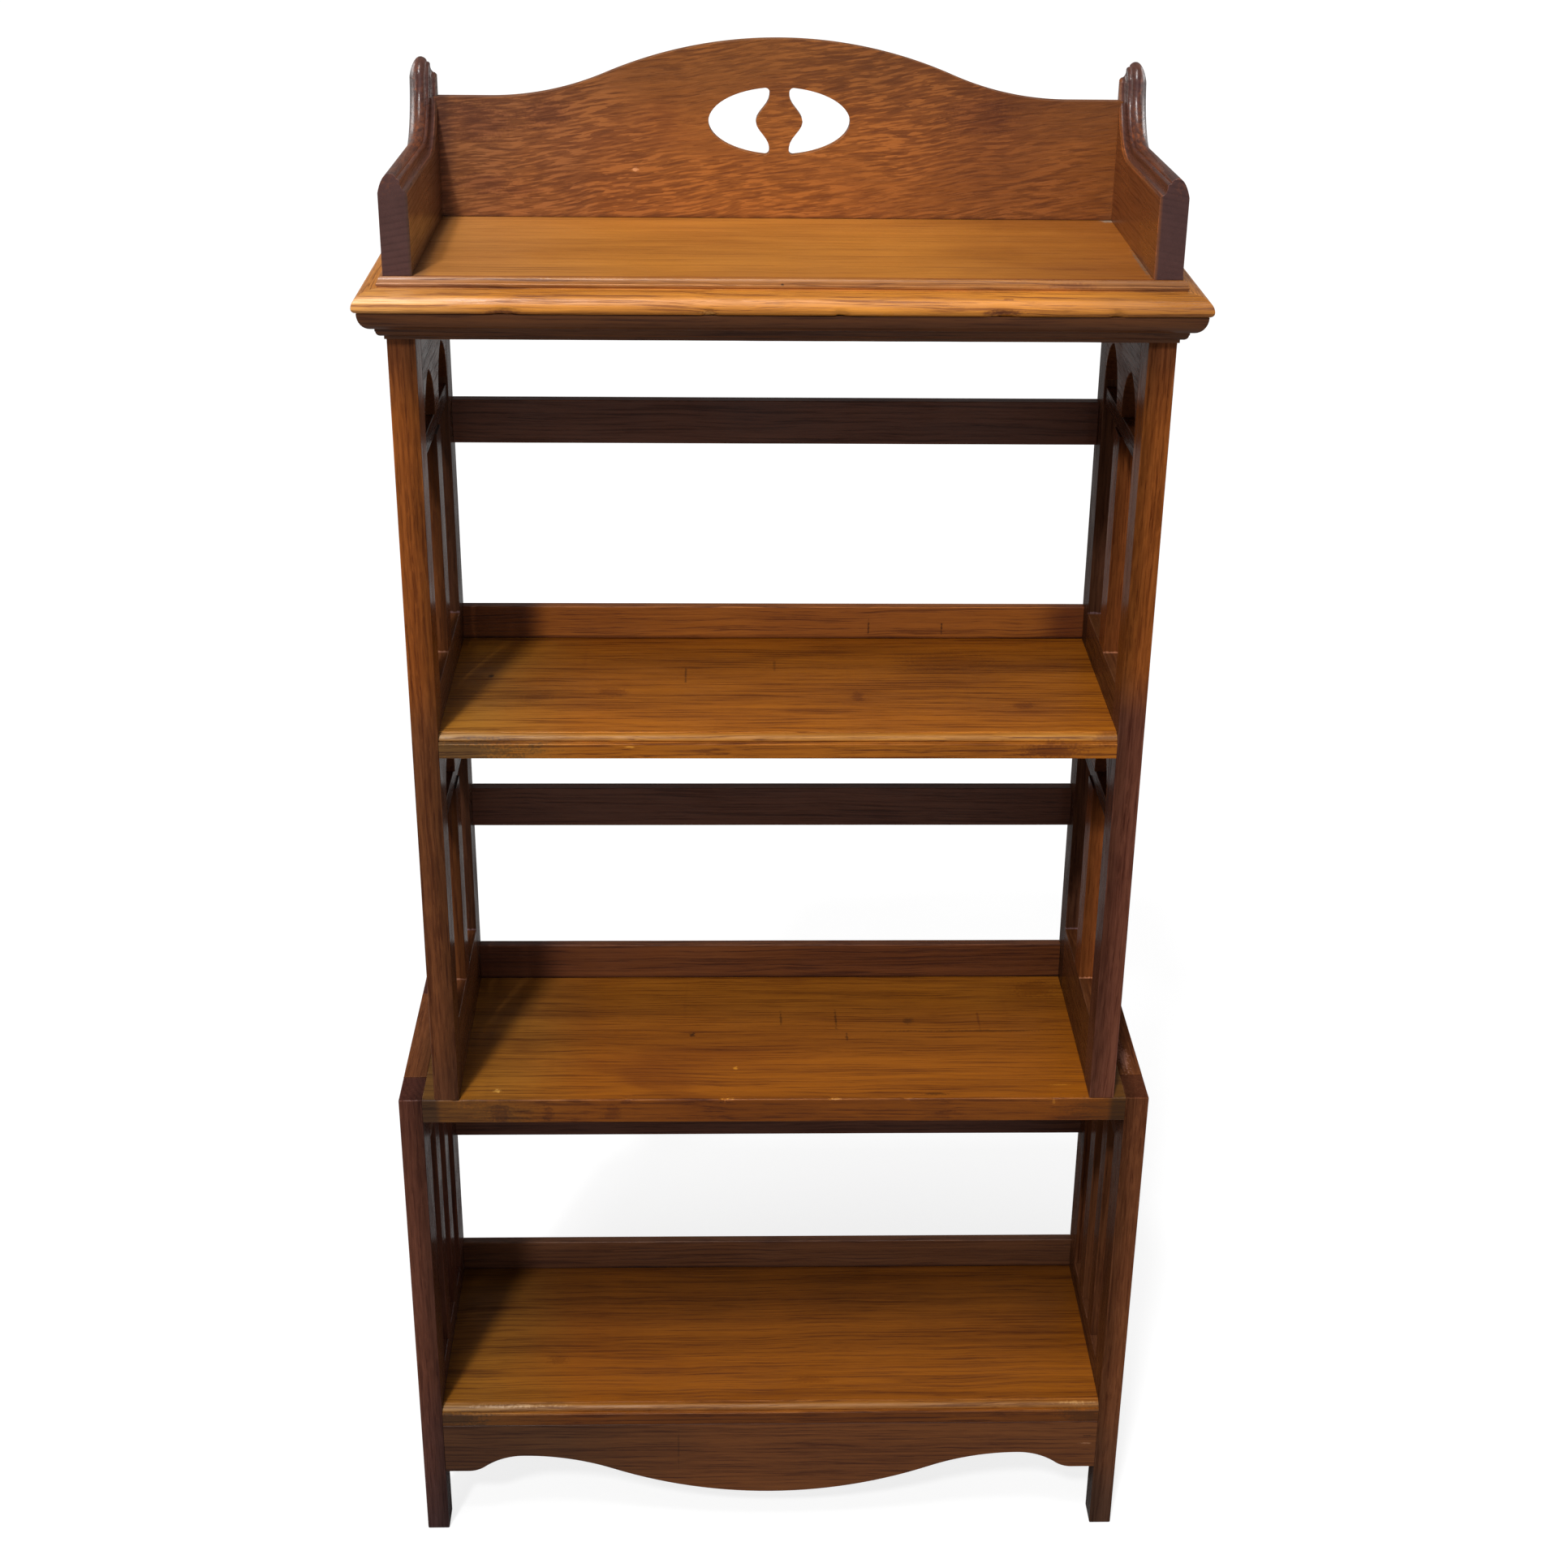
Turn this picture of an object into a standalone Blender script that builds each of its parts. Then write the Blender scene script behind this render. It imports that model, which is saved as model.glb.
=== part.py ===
"""Open-front bookcase in oak: a wide lower stage on four feet, a narrower upper stage and a gallery on top.

The sides are frames of stiles, rails and slats, the shelves are housed into them, and a mitred moulding
runs round the top board. Metres, +Z up, the open front towards -Y. The origin is on the floor, below the
middle of the whole outline.
"""
import math

import bmesh
import bpy
from mathutils import Matrix

# Overall sizes
lower_width = 0.660
stage_step = 0.0315
carcass_depth = 0.2215
cornice_overhang = 0.022

# Heights above the floor
lower_shelf_top = 0.146
middle_shelf_top = 0.488
upper_shelf_top = 0.838
top_board_top = 1.212

# Thickness of each kind of board
moulded_shelf_thickness = 0.0205
middle_shelf_thickness = 0.0235
top_board_thickness = 0.0235
lower_side_thickness = 0.0205
upper_side_thickness = 0.0215
lip_thickness = 0.0095
back_rail_thickness = 0.012
apron_thickness = 0.018
gallery_back_thickness = 0.010
gallery_end_thickness = 0.022

# Framed sides
side_rail_height = 0.065
middle_rail_above_shelf = 0.033
bottom_rail_above_shelf = 0.025
upper_stile_width = 0.032
upper_slat_width = 0.0275
lower_stile_width = 0.038
lower_slat_width = 0.0245
lower_slat_count = 2
cross_rail_height = 0.016
cross_rail_reveal = 0.0015
arch_height = 0.046
arch_rise = 0.040
arch_land = 0.0015
foot_depth = 0.026
foot_straight_height = 0.060
foot_sweep_height = 0.035
foot_sweep_share = 0.5
side_arch_rise = 0.014
side_arch_land = 0.012

# Lips behind the books, and the rails across the open back
lower_lip_height = 0.033
middle_lip_height = 0.036
upper_lip_height = 0.0305
back_rail_height = 0.038
lower_back_rail_top = 0.3485
middle_back_rail_top = 0.6905
upper_back_rail_top = 1.0575

# Moulded front edge of the lower and upper shelves
nose_depth = 0.0085
nose_fillet = 0.001
nose_round_depth = 0.0055
nose_round_height = 0.005
nose_quirk = 0.0006
nose_height = 0.008

# Cornice round the top board
cornice_flat = 0.0015
cornice_bead_reach = 0.0025
cornice_bead_height = 0.0045
cornice_fillet = 0.002
cornice_quirk = 0.0008
cornice_quirk_height = 0.0015
cornice_nose_start = 0.0065
cornice_nose_edge = 0.004

# Bed moulding under it
bed_top_reach = 0.0189
bed_round_reach = 0.0104
bed_round_height = 0.0138
bed_fillet_reach = 0.001
bed_fillet_height = 0.0024
bed_foot_reach = 0.005
bed_foot_height = 0.0043
bed_edge_reach = 0.0015
bed_edge_height = 0.003

# Gallery
gallery_front_height = 0.075
gallery_dip = 0.0035
gallery_rear_height = 0.126
gallery_sweep = 0.065
gallery_sweep_share = 0.727
gallery_back_end_height = 0.096
gallery_crest_rise = 0.0468
gallery_crest_half_length = 0.235
gallery_crest_share = 0.60
piercing_centre_height = 0.078
piercing_half_width = 0.0576
piercing_half_height = 0.0273
piercing_bar_middle = 0.0190
piercing_bar_end = 0.0080
piercing_bar_swell = 1.4
piercing_tip_radius = 0.0035

# Moulded upper edge of the gallery ends: how far in from the outer face, and how far below the ridge
edge_round_reach = 0.007
edge_round_drop = 0.013
edge_flat_reach = 0.0115
edge_flat_drop = 0.001
edge_bead_reach = 0.0150
edge_bead_drop = 0.006
edge_cove_reach = 0.0190
edge_cove_drop = 0.0105
edge_fillet = 0.002
edge_inner_drop = 0.0135

# Shaped apron under the lower shelf, heights above the floor
apron_end_height = 0.070
apron_hump_height = 0.088
apron_centre_height = 0.0425
apron_hump_place = 0.235
apron_flat_length = 0.0215
apron_centre_share = 0.64
apron_hump_share = 0.70

# Joints
gap = 0.0003
tenon_length = 0.010
slat_tenon_length = 0.008
housing_depth = 0.0045
housing_stop = 0.012
middle_tongue_height = 0.010
shoulder = 0.003
apron_tenon_height = 0.024
apron_tenon_above_hump = 0.006
apron_tenon_length = 0.008
apron_tenon_thickness = 0.007
gallery_rebate = 0.005
stub_tenon_width = 0.012
stub_tenon_height = 0.012
back_tenon_length = 0.008
back_tenon_thickness = 0.005
dowel_radius = 0.004
dowel_length = 0.026
screw_head_radius = 0.004
screw_head_height = 0.003
screw_shank_radius = 0.002
screw_length = 0.038
screw_spacing = 0.100
overrun = 0.004
weld_distance = 0.00001
flat_angle = math.radians(0.2)

# Facets of the round work
arch_steps = 7
sweep_steps = 7
piercing_steps = 9
tip_steps = 3
round_steps = 5
turned_steps = 12

# Places that follow from the sizes above
front_y = -(carcass_depth - cornice_overhang) / 2
rear_y = front_y + carcass_depth
middle_y = (front_y + rear_y) / 2
upper_width = lower_width - 2 * stage_step
lower_half = lower_width / 2
upper_half = upper_width / 2
lower_inner = lower_half - lower_side_thickness
upper_inner = upper_half - upper_side_thickness
top_board_underside = top_board_top - top_board_thickness
gallery_inner = upper_half - gallery_end_thickness
upper_side_bottom = middle_shelf_top
middle_rail_top = upper_shelf_top + middle_rail_above_shelf
bottom_rail_top = lower_shelf_top + bottom_rail_above_shelf
third = 1 / 3
sides = ((-1, "left"), (1, "right"))

for leftover in list(bpy.data.objects):
    bpy.data.objects.remove(leftover)
parts = bpy.data.collections.new("bookcase")
cutters = bpy.data.collections.new("bookcase_cutters")
bpy.context.scene.collection.children.link(parts)
bpy.context.scene.collection.children.link(cutters)


def finish(name, colour, roughness, metallic=0.0):
    """A material with one colour, for one kind of surface."""
    material = bpy.data.materials.new(name)
    material.use_nodes = True
    shader = material.node_tree.nodes["Principled BSDF"]
    shader.inputs["Base Color"].default_value = (*colour, 1.0)
    shader.inputs["Roughness"].default_value = roughness
    shader.inputs["Metallic"].default_value = metallic
    material.diffuse_color = (*colour, 1.0)
    return material


shelf_oak = finish("shelf_oak", (0.36, 0.15, 0.045), 0.38)
side_oak = finish("side_oak", (0.20, 0.072, 0.028), 0.34)
rail_oak = finish("rail_oak", (0.075, 0.030, 0.017), 0.34)
moulding_oak = finish("moulding_oak", (0.33, 0.13, 0.042), 0.32)
gallery_oak = finish("gallery_oak", (0.27, 0.105, 0.033), 0.36)
beech = finish("beech", (0.52, 0.34, 0.18), 0.6)
steel = finish("steel", (0.42, 0.41, 0.39), 0.35, 1.0)


def place(name, mesh, material, matrix=None):
    """Puts a mesh into the model as one named piece."""
    mesh.name = name
    mesh.materials.clear()
    mesh.materials.append(material)
    piece = bpy.data.objects.new(name, mesh)
    if matrix is not None:
        piece.matrix_world = matrix
    parts.objects.link(piece)
    return piece


def boxes(corners):
    """One mesh of upright boxes, each given by its lowest and highest corner."""
    shape = bmesh.new()
    for low, high in corners:
        size = [b - a for a, b in zip(low, high)]
        centre = [(a + b) / 2 for a, b in zip(low, high)]
        made = bmesh.ops.create_cube(shape, size=1.0)
        bmesh.ops.scale(shape, vec=size, verts=made["verts"])
        bmesh.ops.translate(shape, vec=centre, verts=made["verts"])
    mesh = bpy.data.meshes.new("boxes")
    shape.to_mesh(mesh)
    shape.free()
    return mesh


def plate(loops, thickness):
    """A board of the given outline, with any holes, in its own X-Y plane and centred on its thickness."""
    curve = bpy.data.curves.new("outline", "CURVE")
    curve.dimensions = "2D"
    curve.fill_mode = "BOTH"
    curve.extrude = thickness / 2
    for loop in loops:
        spline = curve.splines.new("POLY")
        spline.points.add(len(loop) - 1)
        for point, (x, y) in zip(spline.points, loop):
            point.co = (x, y, 0, 1)
        spline.use_cyclic_u = True
    guide = bpy.data.objects.new("outline", curve)
    cutters.objects.link(guide)
    graph = bpy.context.evaluated_depsgraph_get()
    mesh = bpy.data.meshes.new_from_object(guide.evaluated_get(graph))
    bpy.data.objects.remove(guide)
    bpy.data.curves.remove(curve)
    shape = bmesh.new()
    shape.from_mesh(mesh)
    bmesh.ops.remove_doubles(shape, verts=shape.verts, dist=weld_distance)
    bmesh.ops.dissolve_limit(shape, angle_limit=flat_angle, verts=shape.verts, edges=shape.edges)
    bmesh.ops.recalc_face_normals(shape, faces=shape.faces)
    shape.to_mesh(mesh)
    shape.free()
    return mesh


def facing_front(depth):
    """Turns an outline drawn as seen from the front (x, z) upright, at the given middle depth."""
    return Matrix(((1, 0, 0, 0), (0, 0, -1, depth), (0, 1, 0, 0), (0, 0, 0, 1)))


def facing_side(across):
    """Turns an outline drawn as seen from the side (y, z) upright, at the given place across the width."""
    return Matrix(((0, 0, 1, across), (1, 0, 0, 0), (0, 1, 0, 0), (0, 0, 0, 1)))


def cutter(name, mesh, matrix=None):
    """A hidden helper for a Boolean modifier."""
    helper = bpy.data.objects.new(name, mesh)
    if matrix is not None:
        helper.matrix_world = matrix
    helper.hide_render = True
    helper.display_type = "WIRE"
    cutters.objects.link(helper)
    return helper


def combine(piece, helper, operation="DIFFERENCE"):
    """Cuts the helper's shape out of the piece, or joins it on."""
    step = piece.modifiers.new(helper.name, "BOOLEAN")
    step.operation = operation
    step.solver = "EXACT"
    step.object = helper


def cut_boxes(piece, corners):
    """Cuts a set of separate boxes out of a piece."""
    combine(piece, cutter(piece.name + "_cuts", boxes(corners)))


def grown(corners, amount):
    """A box made larger by the same amount all round."""
    low, high = corners
    return [v - amount for v in low], [v + amount for v in high]


def mirrored(corners):
    """A box on the other side of the middle plane."""
    low, high = corners
    return (-high[0], low[1], low[2]), (-low[0], high[1], high[2])


def on_side(side, corners):
    """A box drawn for the right side, moved to the side asked for."""
    return corners if side > 0 else mirrored(corners)


def arc(centre, radius_x, radius_y, start, end, steps):
    """Points along part of an ellipse, angles in radians."""
    turn = [start + (end - start) * i / steps for i in range(steps + 1)]
    return [(centre[0] + radius_x * math.cos(a), centre[1] + radius_y * math.sin(a)) for a in turn]


def ogee(start, end, first_share, steps):
    """An S-shaped curve of two arcs, level at both ends. The first arc has the given share of the radii."""
    run = end[0] - start[0]
    rise = end[1] - start[1]
    angle = 2 * math.atan(abs(rise / run))
    total = abs(run) / math.sin(angle)
    first = first_share * total
    second = total - first
    along = math.copysign(1, run)
    up = math.copysign(1, rise)
    points = []
    for i in range(steps + 1):
        a = angle * i / steps
        points.append((start[0] + along * first * math.sin(a), start[1] + up * first * (1 - math.cos(a))))
    for i in range(1, steps + 1):
        a = angle * (1 - i / steps)
        points.append((end[0] - along * second * math.sin(a), end[1] - up * second * (1 - math.cos(a))))
    return points


def turned(profile):
    """A round piece on the Z axis, from a profile of (radius, height) from the top down."""
    shape = bmesh.new()
    verts = [shape.verts.new((r, 0, z)) for r, z in profile]
    for a, b in zip(verts, verts[1:]):
        shape.edges.new((a, b))
    mesh = bpy.data.meshes.new("profile")
    shape.to_mesh(mesh)
    shape.free()
    guide = bpy.data.objects.new("profile", mesh)
    cutters.objects.link(guide)
    screw = guide.modifiers.new("turn", "SCREW")
    screw.steps = turned_steps
    screw.render_steps = turned_steps
    screw.use_merge_vertices = True
    screw.merge_threshold = weld_distance
    graph = bpy.context.evaluated_depsgraph_get()
    result = bpy.data.meshes.new_from_object(guide.evaluated_get(graph))
    bpy.data.objects.remove(guide)
    group = bmesh.new()
    group.from_mesh(result)
    bmesh.ops.remove_doubles(group, verts=group.verts, dist=weld_distance)
    bmesh.ops.recalc_face_normals(group, faces=group.faces)
    group.to_mesh(result)
    group.free()
    result.shade_smooth()
    result.set_sharp_from_angle(angle=math.radians(40))
    return result


def repeated(mesh, places):
    """One mesh with a copy of another at each place, for cutting a set of holes."""
    group = bmesh.new()
    for xyz in places:
        before = set(group.verts)
        group.from_mesh(mesh)
        bmesh.ops.translate(group, vec=xyz, verts=[v for v in group.verts if v not in before])
    result = bpy.data.meshes.new("holes")
    group.to_mesh(result)
    group.free()
    return result


# Framed sides

def tenoned(name, material, body, bar):
    """A bar of wood with a tenon at each end: the body, joined with a thinner bar that runs through it."""
    piece = place(name, boxes([body]), material)
    combine(piece, cutter(name + "_tenons", boxes([bar])), "UNION")
    return piece


def arch_opening(near, far, stile_edge, sill, spring):
    """Outline of one pointed arch: near is the stile's side, far the slat's, with the waste below it."""
    half = abs(far - near) / 2
    middle = (near + far) / 2
    towards = math.copysign(1, far - near)
    radius = (arch_rise ** 2 + half ** 2) / (2 * half)
    top_angle = math.asin(arch_rise / radius)
    rising = [(middle + towards * (radius - half) - towards * radius * math.cos(a),
               spring + radius * math.sin(a))
              for a in [top_angle * i / arch_steps for i in range(arch_steps + 1)]]
    falling = [(2 * middle - y, z) for y, z in reversed(rising[:-1])]
    past = stile_edge - towards * (tenon_length + overrun)
    return [(past, sill - overrun), (past, spring)] + rising + falling + [(far, sill - overrun)]


def side_faces(side, outer, thickness):
    """Middle of a side board across the width."""
    return side * (outer - thickness / 2)


def middle_third(outer, thickness):
    """Where the tenons of a side board lie across its thickness, on the right side."""
    middle = outer - thickness / 2
    half = thickness * third / 2
    return middle - half, middle + half


def mortise(side, outer, thickness, y_range, z_range):
    """A slot in the middle third of a side board, with the joint's clearance."""
    across = middle_third(outer, thickness)
    return on_side(side, grown(((across[0], y_range[0], z_range[0]), (across[1], y_range[1], z_range[1])), gap))


def rail_mortise(side, outer, thickness, edge, towards, z_range):
    """The slot in a stile's edge for a rail of the given height."""
    y_range = sorted((edge + towards * overrun, edge - towards * tenon_length))
    return mortise(side, outer, thickness, y_range, (z_range[0] + shoulder, z_range[1] - shoulder))


def slat_mortise(side, outer, thickness, y_range, level, towards):
    """The slot in a rail's edge at the given level for a slat that stands or hangs there."""
    z_range = sorted((level + towards * overrun, level - towards * slat_tenon_length))
    return mortise(side, outer, thickness, (y_range[0] + shoulder, y_range[1] - shoulder), z_range)


def housing(side, inner, z_range):
    """A stopped groove in the inner face of a side, open at the back."""
    low = (inner - overrun, front_y + housing_stop - gap, z_range[0] - gap)
    high = (inner + housing_depth + gap, rear_y + overrun, z_range[1] + gap)
    return on_side(side, (low, high))


def make_rail(name, side, outer, thickness, edges, z_range, reveal=0.0):
    """A rail of a side frame between two stile edges, set back from both faces by any reveal."""
    body = ((outer - thickness + reveal, edges[0] + gap, z_range[0]),
            (outer - reveal, edges[1] - gap, z_range[1]))
    across = middle_third(outer, thickness)
    bar = ((across[0], edges[0] - tenon_length, z_range[0] + shoulder),
           (across[1], edges[1] + tenon_length, z_range[1] - shoulder))
    return tenoned(name, side_oak, on_side(side, body), on_side(side, bar))


def make_slat(name, side, outer, thickness, y_range, z_range):
    """A slat between two rails."""
    body = ((outer - thickness, y_range[0], z_range[0] + gap), (outer, y_range[1], z_range[1] - gap))
    across = middle_third(outer, thickness)
    bar = ((across[0], y_range[0] + shoulder, z_range[0] - slat_tenon_length),
           (across[1], y_range[1] - shoulder, z_range[1] + slat_tenon_length))
    return tenoned(name, side_oak, on_side(side, body), on_side(side, bar))


upper_edges = (front_y + upper_stile_width, rear_y - upper_stile_width)
lower_edges = (front_y + lower_stile_width, rear_y - lower_stile_width)
upper_slat_y = (middle_y - upper_slat_width / 2, middle_y + upper_slat_width / 2)
stile_middles = (front_y + upper_stile_width / 2, rear_y - upper_stile_width / 2)
side_top = top_board_underside - gap
side_foot = upper_side_bottom + gap
upper_shelf_z = (upper_shelf_top - moulded_shelf_thickness, upper_shelf_top)
lower_shelf_z = (lower_shelf_top - moulded_shelf_thickness, lower_shelf_top)
middle_shelf_underside = middle_shelf_top - middle_shelf_thickness
middle_tongue_z = (middle_shelf_underside + shoulder, middle_shelf_underside + shoulder + middle_tongue_height)

# Each bay of the upper sides, from the bottom: sill, underside of the cross rail, its top, spring, rail top
upper_bays = {"middle": (upper_side_bottom + side_rail_height, middle_rail_top),
              "upper": (middle_rail_top, side_top)}


def bay_levels(bay):
    """Heights of one bay: sill, cross rail's underside and top, springing of the arches, top of the rail."""
    sill, rail_top = upper_bays[bay]
    apex = rail_top - side_rail_height
    cross_top = apex - arch_height
    return sill, cross_top - cross_rail_height, cross_top, apex - arch_rise, rail_top


def make_arched_rail(name, side, bay):
    """The rail over one bay, its lower edge cut to two pointed arches that meet in a short leg."""
    cross_top, spring, top = bay_levels(bay)[2:]
    bottom = cross_top + gap
    rail = make_rail(name, side, upper_half, upper_side_thickness, upper_edges, (bottom, top))
    near, far = upper_edges[0] + arch_land, upper_slat_y[0]
    front_arch = arch_opening(near, far, upper_edges[0], bottom, spring)
    rear_arch = [(2 * middle_y - y, z) for y, z in front_arch]
    across = side_faces(side, upper_half, upper_side_thickness)
    waste = plate([front_arch, rear_arch], upper_side_thickness + 2 * overrun)
    combine(rail, cutter(name + "_arches", waste, facing_side(across)))
    return rail


def make_upper_stile(name, side, depth_range, edge, towards, middle):
    """A stile of the upper stage. Its mortises open towards the other stile."""
    x_range = (upper_inner, upper_half)
    low = (x_range[0], depth_range[0], side_foot)
    high = (x_range[1], depth_range[1], side_top)
    stile = place(name, boxes([on_side(side, (low, high))]), side_oak)
    rails = [(side_foot, upper_side_bottom + side_rail_height)]
    for bay in upper_bays:
        cross_low, cross_top, spring, top = bay_levels(bay)[1:]
        rails += [(cross_low, cross_top), (spring - shoulder, top)]
    cut_boxes(stile, [rail_mortise(side, upper_half, upper_side_thickness, edge, towards, z) for z in rails])
    grooves = [housing(side, upper_inner, upper_shelf_z)]
    if depth_range[1] == rear_y:
        grooves += [back_mortise(side, upper_inner, top) for top in (middle_back_rail_top, upper_back_rail_top)]
    combine(stile, cutter(name + "_grooves", boxes(grooves)))
    across = side_faces(side, upper_half, upper_side_thickness)
    hole = repeated(dowel_mesh(gap), [(across, middle, upper_side_bottom)])
    combine(stile, cutter(name + "_dowel_hole", hole))
    tenon = boxes([stub_tenon(across, middle)])
    combine(stile, cutter(name + "_tenon", tenon), "UNION")
    return stile


def stub_tenon(across, depth):
    """The short tenon on an upper stile's top, from inside the stile to its end in the top board."""
    half_x = upper_side_thickness * third / 2
    half_y = stub_tenon_width / 2
    low = (across - half_x, depth - half_y, side_top - overrun)
    high = (across + half_x, depth + half_y, side_top + stub_tenon_height)
    return low, high


def back_mortise(side, inner, rail_top):
    """The slot in a rear stile's inner face for a rail across the back."""
    middle = rear_y - back_rail_thickness / 2
    half = back_tenon_thickness / 2
    low = (inner - overrun, middle - half, rail_top - back_rail_height + shoulder)
    high = (inner + back_tenon_length, middle + half, rail_top - shoulder)
    return on_side(side, grown((low, high), gap))


def dowel_mesh(clearance):
    """A dowel centred on the origin, or its hole when a clearance is added all round."""
    radius = dowel_radius + clearance
    half = dowel_length / 2 + clearance
    return turned([(0, half), (radius, half), (radius, -half), (0, -half)])


def make_upper_side(side, hand):
    """One side of the upper stage: two stiles, three rails, and in each bay a cross rail and a slat."""
    make_upper_stile(hand + "_upper_front_stile", side, (front_y, upper_edges[0]), upper_edges[0], 1,
                     stile_middles[0])
    make_upper_stile(hand + "_upper_rear_stile", side, (upper_edges[1], rear_y), upper_edges[1], -1,
                     stile_middles[1])
    bottom_z = (side_foot, upper_side_bottom + side_rail_height)
    board = (side, upper_half, upper_side_thickness)
    bottom = make_rail(hand + "_upper_bottom_rail", *board, upper_edges, bottom_z)
    cut_boxes(bottom, [slat_mortise(*board, upper_slat_y, bottom_z[1], 1)])
    for bay in upper_bays:
        sill, cross_low, cross_top = bay_levels(bay)[:3]
        rail = make_arched_rail(hand + "_" + bay + "_bay_arched_rail", side, bay)
        if bay == "middle":
            cut_boxes(rail, [slat_mortise(*board, upper_slat_y, middle_rail_top, 1),
                             housing(side, upper_inner, upper_shelf_z)])
        cross = make_rail(hand + "_" + bay + "_bay_cross_rail", *board, upper_edges, (cross_low, cross_top),
                          cross_rail_reveal)
        cut_boxes(cross, [slat_mortise(*board, upper_slat_y, cross_low, -1)])
        make_slat(hand + "_" + bay + "_bay_slat", *board, upper_slat_y, (sill, cross_low))


lower_rail_z = {"top": (middle_shelf_top - side_rail_height, middle_shelf_top),
                "bottom": (bottom_rail_top - side_rail_height, bottom_rail_top)}


def lower_slat_places():
    """Front and rear edge of each slat of the lower sides, with equal slots between."""
    clear = lower_edges[1] - lower_edges[0]
    slot = (clear - lower_slat_count * lower_slat_width) / (lower_slat_count + 1)
    starts = [lower_edges[0] + slot + i * (slot + lower_slat_width) for i in range(lower_slat_count)]
    return [(y, y + lower_slat_width) for y in starts]


def foot_outline():
    """Side view of the front lower stile: straight up, drawn in to a slimmer foot below the rail."""
    sweep_top = foot_straight_height + foot_sweep_height
    inner = ogee((sweep_top, front_y + lower_stile_width), (foot_straight_height, front_y + foot_depth),
                 foot_sweep_share, sweep_steps)
    edge = [(y, z) for z, y in inner]
    return [(front_y, 0), (front_y, middle_shelf_top), (front_y + lower_stile_width, middle_shelf_top)] \
        + edge + [(front_y + foot_depth, 0)]


def make_lower_stile(name, side, rear):
    """A stile of the lower stage, which runs down to the floor as a foot."""
    outline = foot_outline()
    if rear:
        outline = [(2 * middle_y - y, z) for y, z in outline]
    across = side_faces(side, lower_half, lower_side_thickness)
    stile = place(name, plate([outline], lower_side_thickness), side_oak, facing_side(across))
    edge = lower_edges[1] if rear else lower_edges[0]
    towards = -1 if rear else 1
    cut_boxes(stile, [rail_mortise(side, lower_half, lower_side_thickness, edge, towards, z)
                      for z in lower_rail_z.values()])
    grooves = [housing(side, lower_inner, z) for z in (lower_shelf_z, middle_tongue_z)]
    if rear:
        grooves.append(back_mortise(side, lower_inner, lower_back_rail_top))
    else:
        grooves.append(on_side(side, grown(apron_tenon_box(), gap)))
    combine(stile, cutter(name + "_grooves", boxes(grooves)))
    return stile


def apron_tenon_box():
    """The apron's tenon in the right front stile, and as far into the apron as the joint overruns."""
    middle = front_y + apron_thickness / 2
    low_z = apron_hump_height + apron_tenon_above_hump
    low = (lower_inner - overrun, middle - apron_tenon_thickness / 2, low_z)
    high = (lower_inner + apron_tenon_length, middle + apron_tenon_thickness / 2, low_z + apron_tenon_height)
    return low, high


def low_arch(base):
    """The waste below a lower bottom rail: one flat arch between short level ends."""
    half = (lower_edges[1] - lower_edges[0]) / 2 - side_arch_land
    radius = (half ** 2 + side_arch_rise ** 2) / (2 * side_arch_rise)
    sweep = math.acos((radius - side_arch_rise - overrun) / radius)
    centre = (middle_y, base + side_arch_rise - radius)
    return arc(centre, radius, radius, math.pi / 2 - sweep, math.pi / 2 + sweep, 2 * sweep_steps)


def make_lower_side(side, hand):
    """One side of the lower stage: two stiles with feet, two rails and two slats."""
    make_lower_stile(hand + "_lower_front_stile", side, False)
    make_lower_stile(hand + "_lower_rear_stile", side, True)
    slats = lower_slat_places()
    board = (side, lower_half, lower_side_thickness)
    top = make_rail(hand + "_lower_top_rail", *board, lower_edges, lower_rail_z["top"])
    low = lower_rail_z["top"][0]
    cut_boxes(top, [slat_mortise(*board, y, low, -1) for y in slats]
              + [housing(side, lower_inner, middle_tongue_z)])
    bottom = make_rail(hand + "_lower_bottom_rail", *board, lower_edges, lower_rail_z["bottom"])
    high = lower_rail_z["bottom"][1]
    cut_boxes(bottom, [slat_mortise(*board, y, high, 1) for y in slats]
              + [housing(side, lower_inner, lower_shelf_z)])
    waste = plate([low_arch(lower_rail_z["bottom"][0])], lower_side_thickness + 2 * overrun)
    across = side_faces(side, lower_half, lower_side_thickness)
    combine(bottom, cutter(bottom.name + "_arch", waste, facing_side(across)))
    for number, y_range in enumerate(slats, start=1):
        make_slat(hand + "_lower_slat_" + str(number), *board, y_range, (high, low))


for side, hand in sides:
    make_lower_side(side, hand)
    make_upper_side(side, hand)


# Shelves, each with its lip and the rail across the back above it

def nose_profile(top):
    """Side view of a moulded shelf, from the back of its top round to the back of its underside."""
    face = front_y + nose_depth
    round_top = top - nose_fillet
    round_back = face - nose_fillet
    centre = (round_back, round_top - nose_round_height)
    bead = arc(centre, -nose_round_depth, nose_round_height, math.pi / 2, 0, round_steps)
    quirk_y, quirk_z = bead[-1]
    fillet_y = front_y + nose_quirk
    break_z = top - nose_height
    return [(rear_y, top), (face, top), (face, round_top)] + bead + [
        (quirk_y + nose_quirk, quirk_z), (quirk_y + nose_quirk, quirk_z - nose_quirk),
        (fillet_y, quirk_z - nose_quirk), (fillet_y, break_z), (front_y, break_z),
        (front_y, top - moulded_shelf_thickness), (rear_y, top - moulded_shelf_thickness)]


def stop_corners(inner, z_range):
    """The waste at a shelf's two front corners, where its housing stops short of the front."""
    low = (inner - gap, front_y - overrun, z_range[0] - overrun)
    high = (inner + housing_depth + overrun, front_y + housing_stop, z_range[1] + overrun)
    return [(low, high), mirrored((low, high))]


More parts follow.
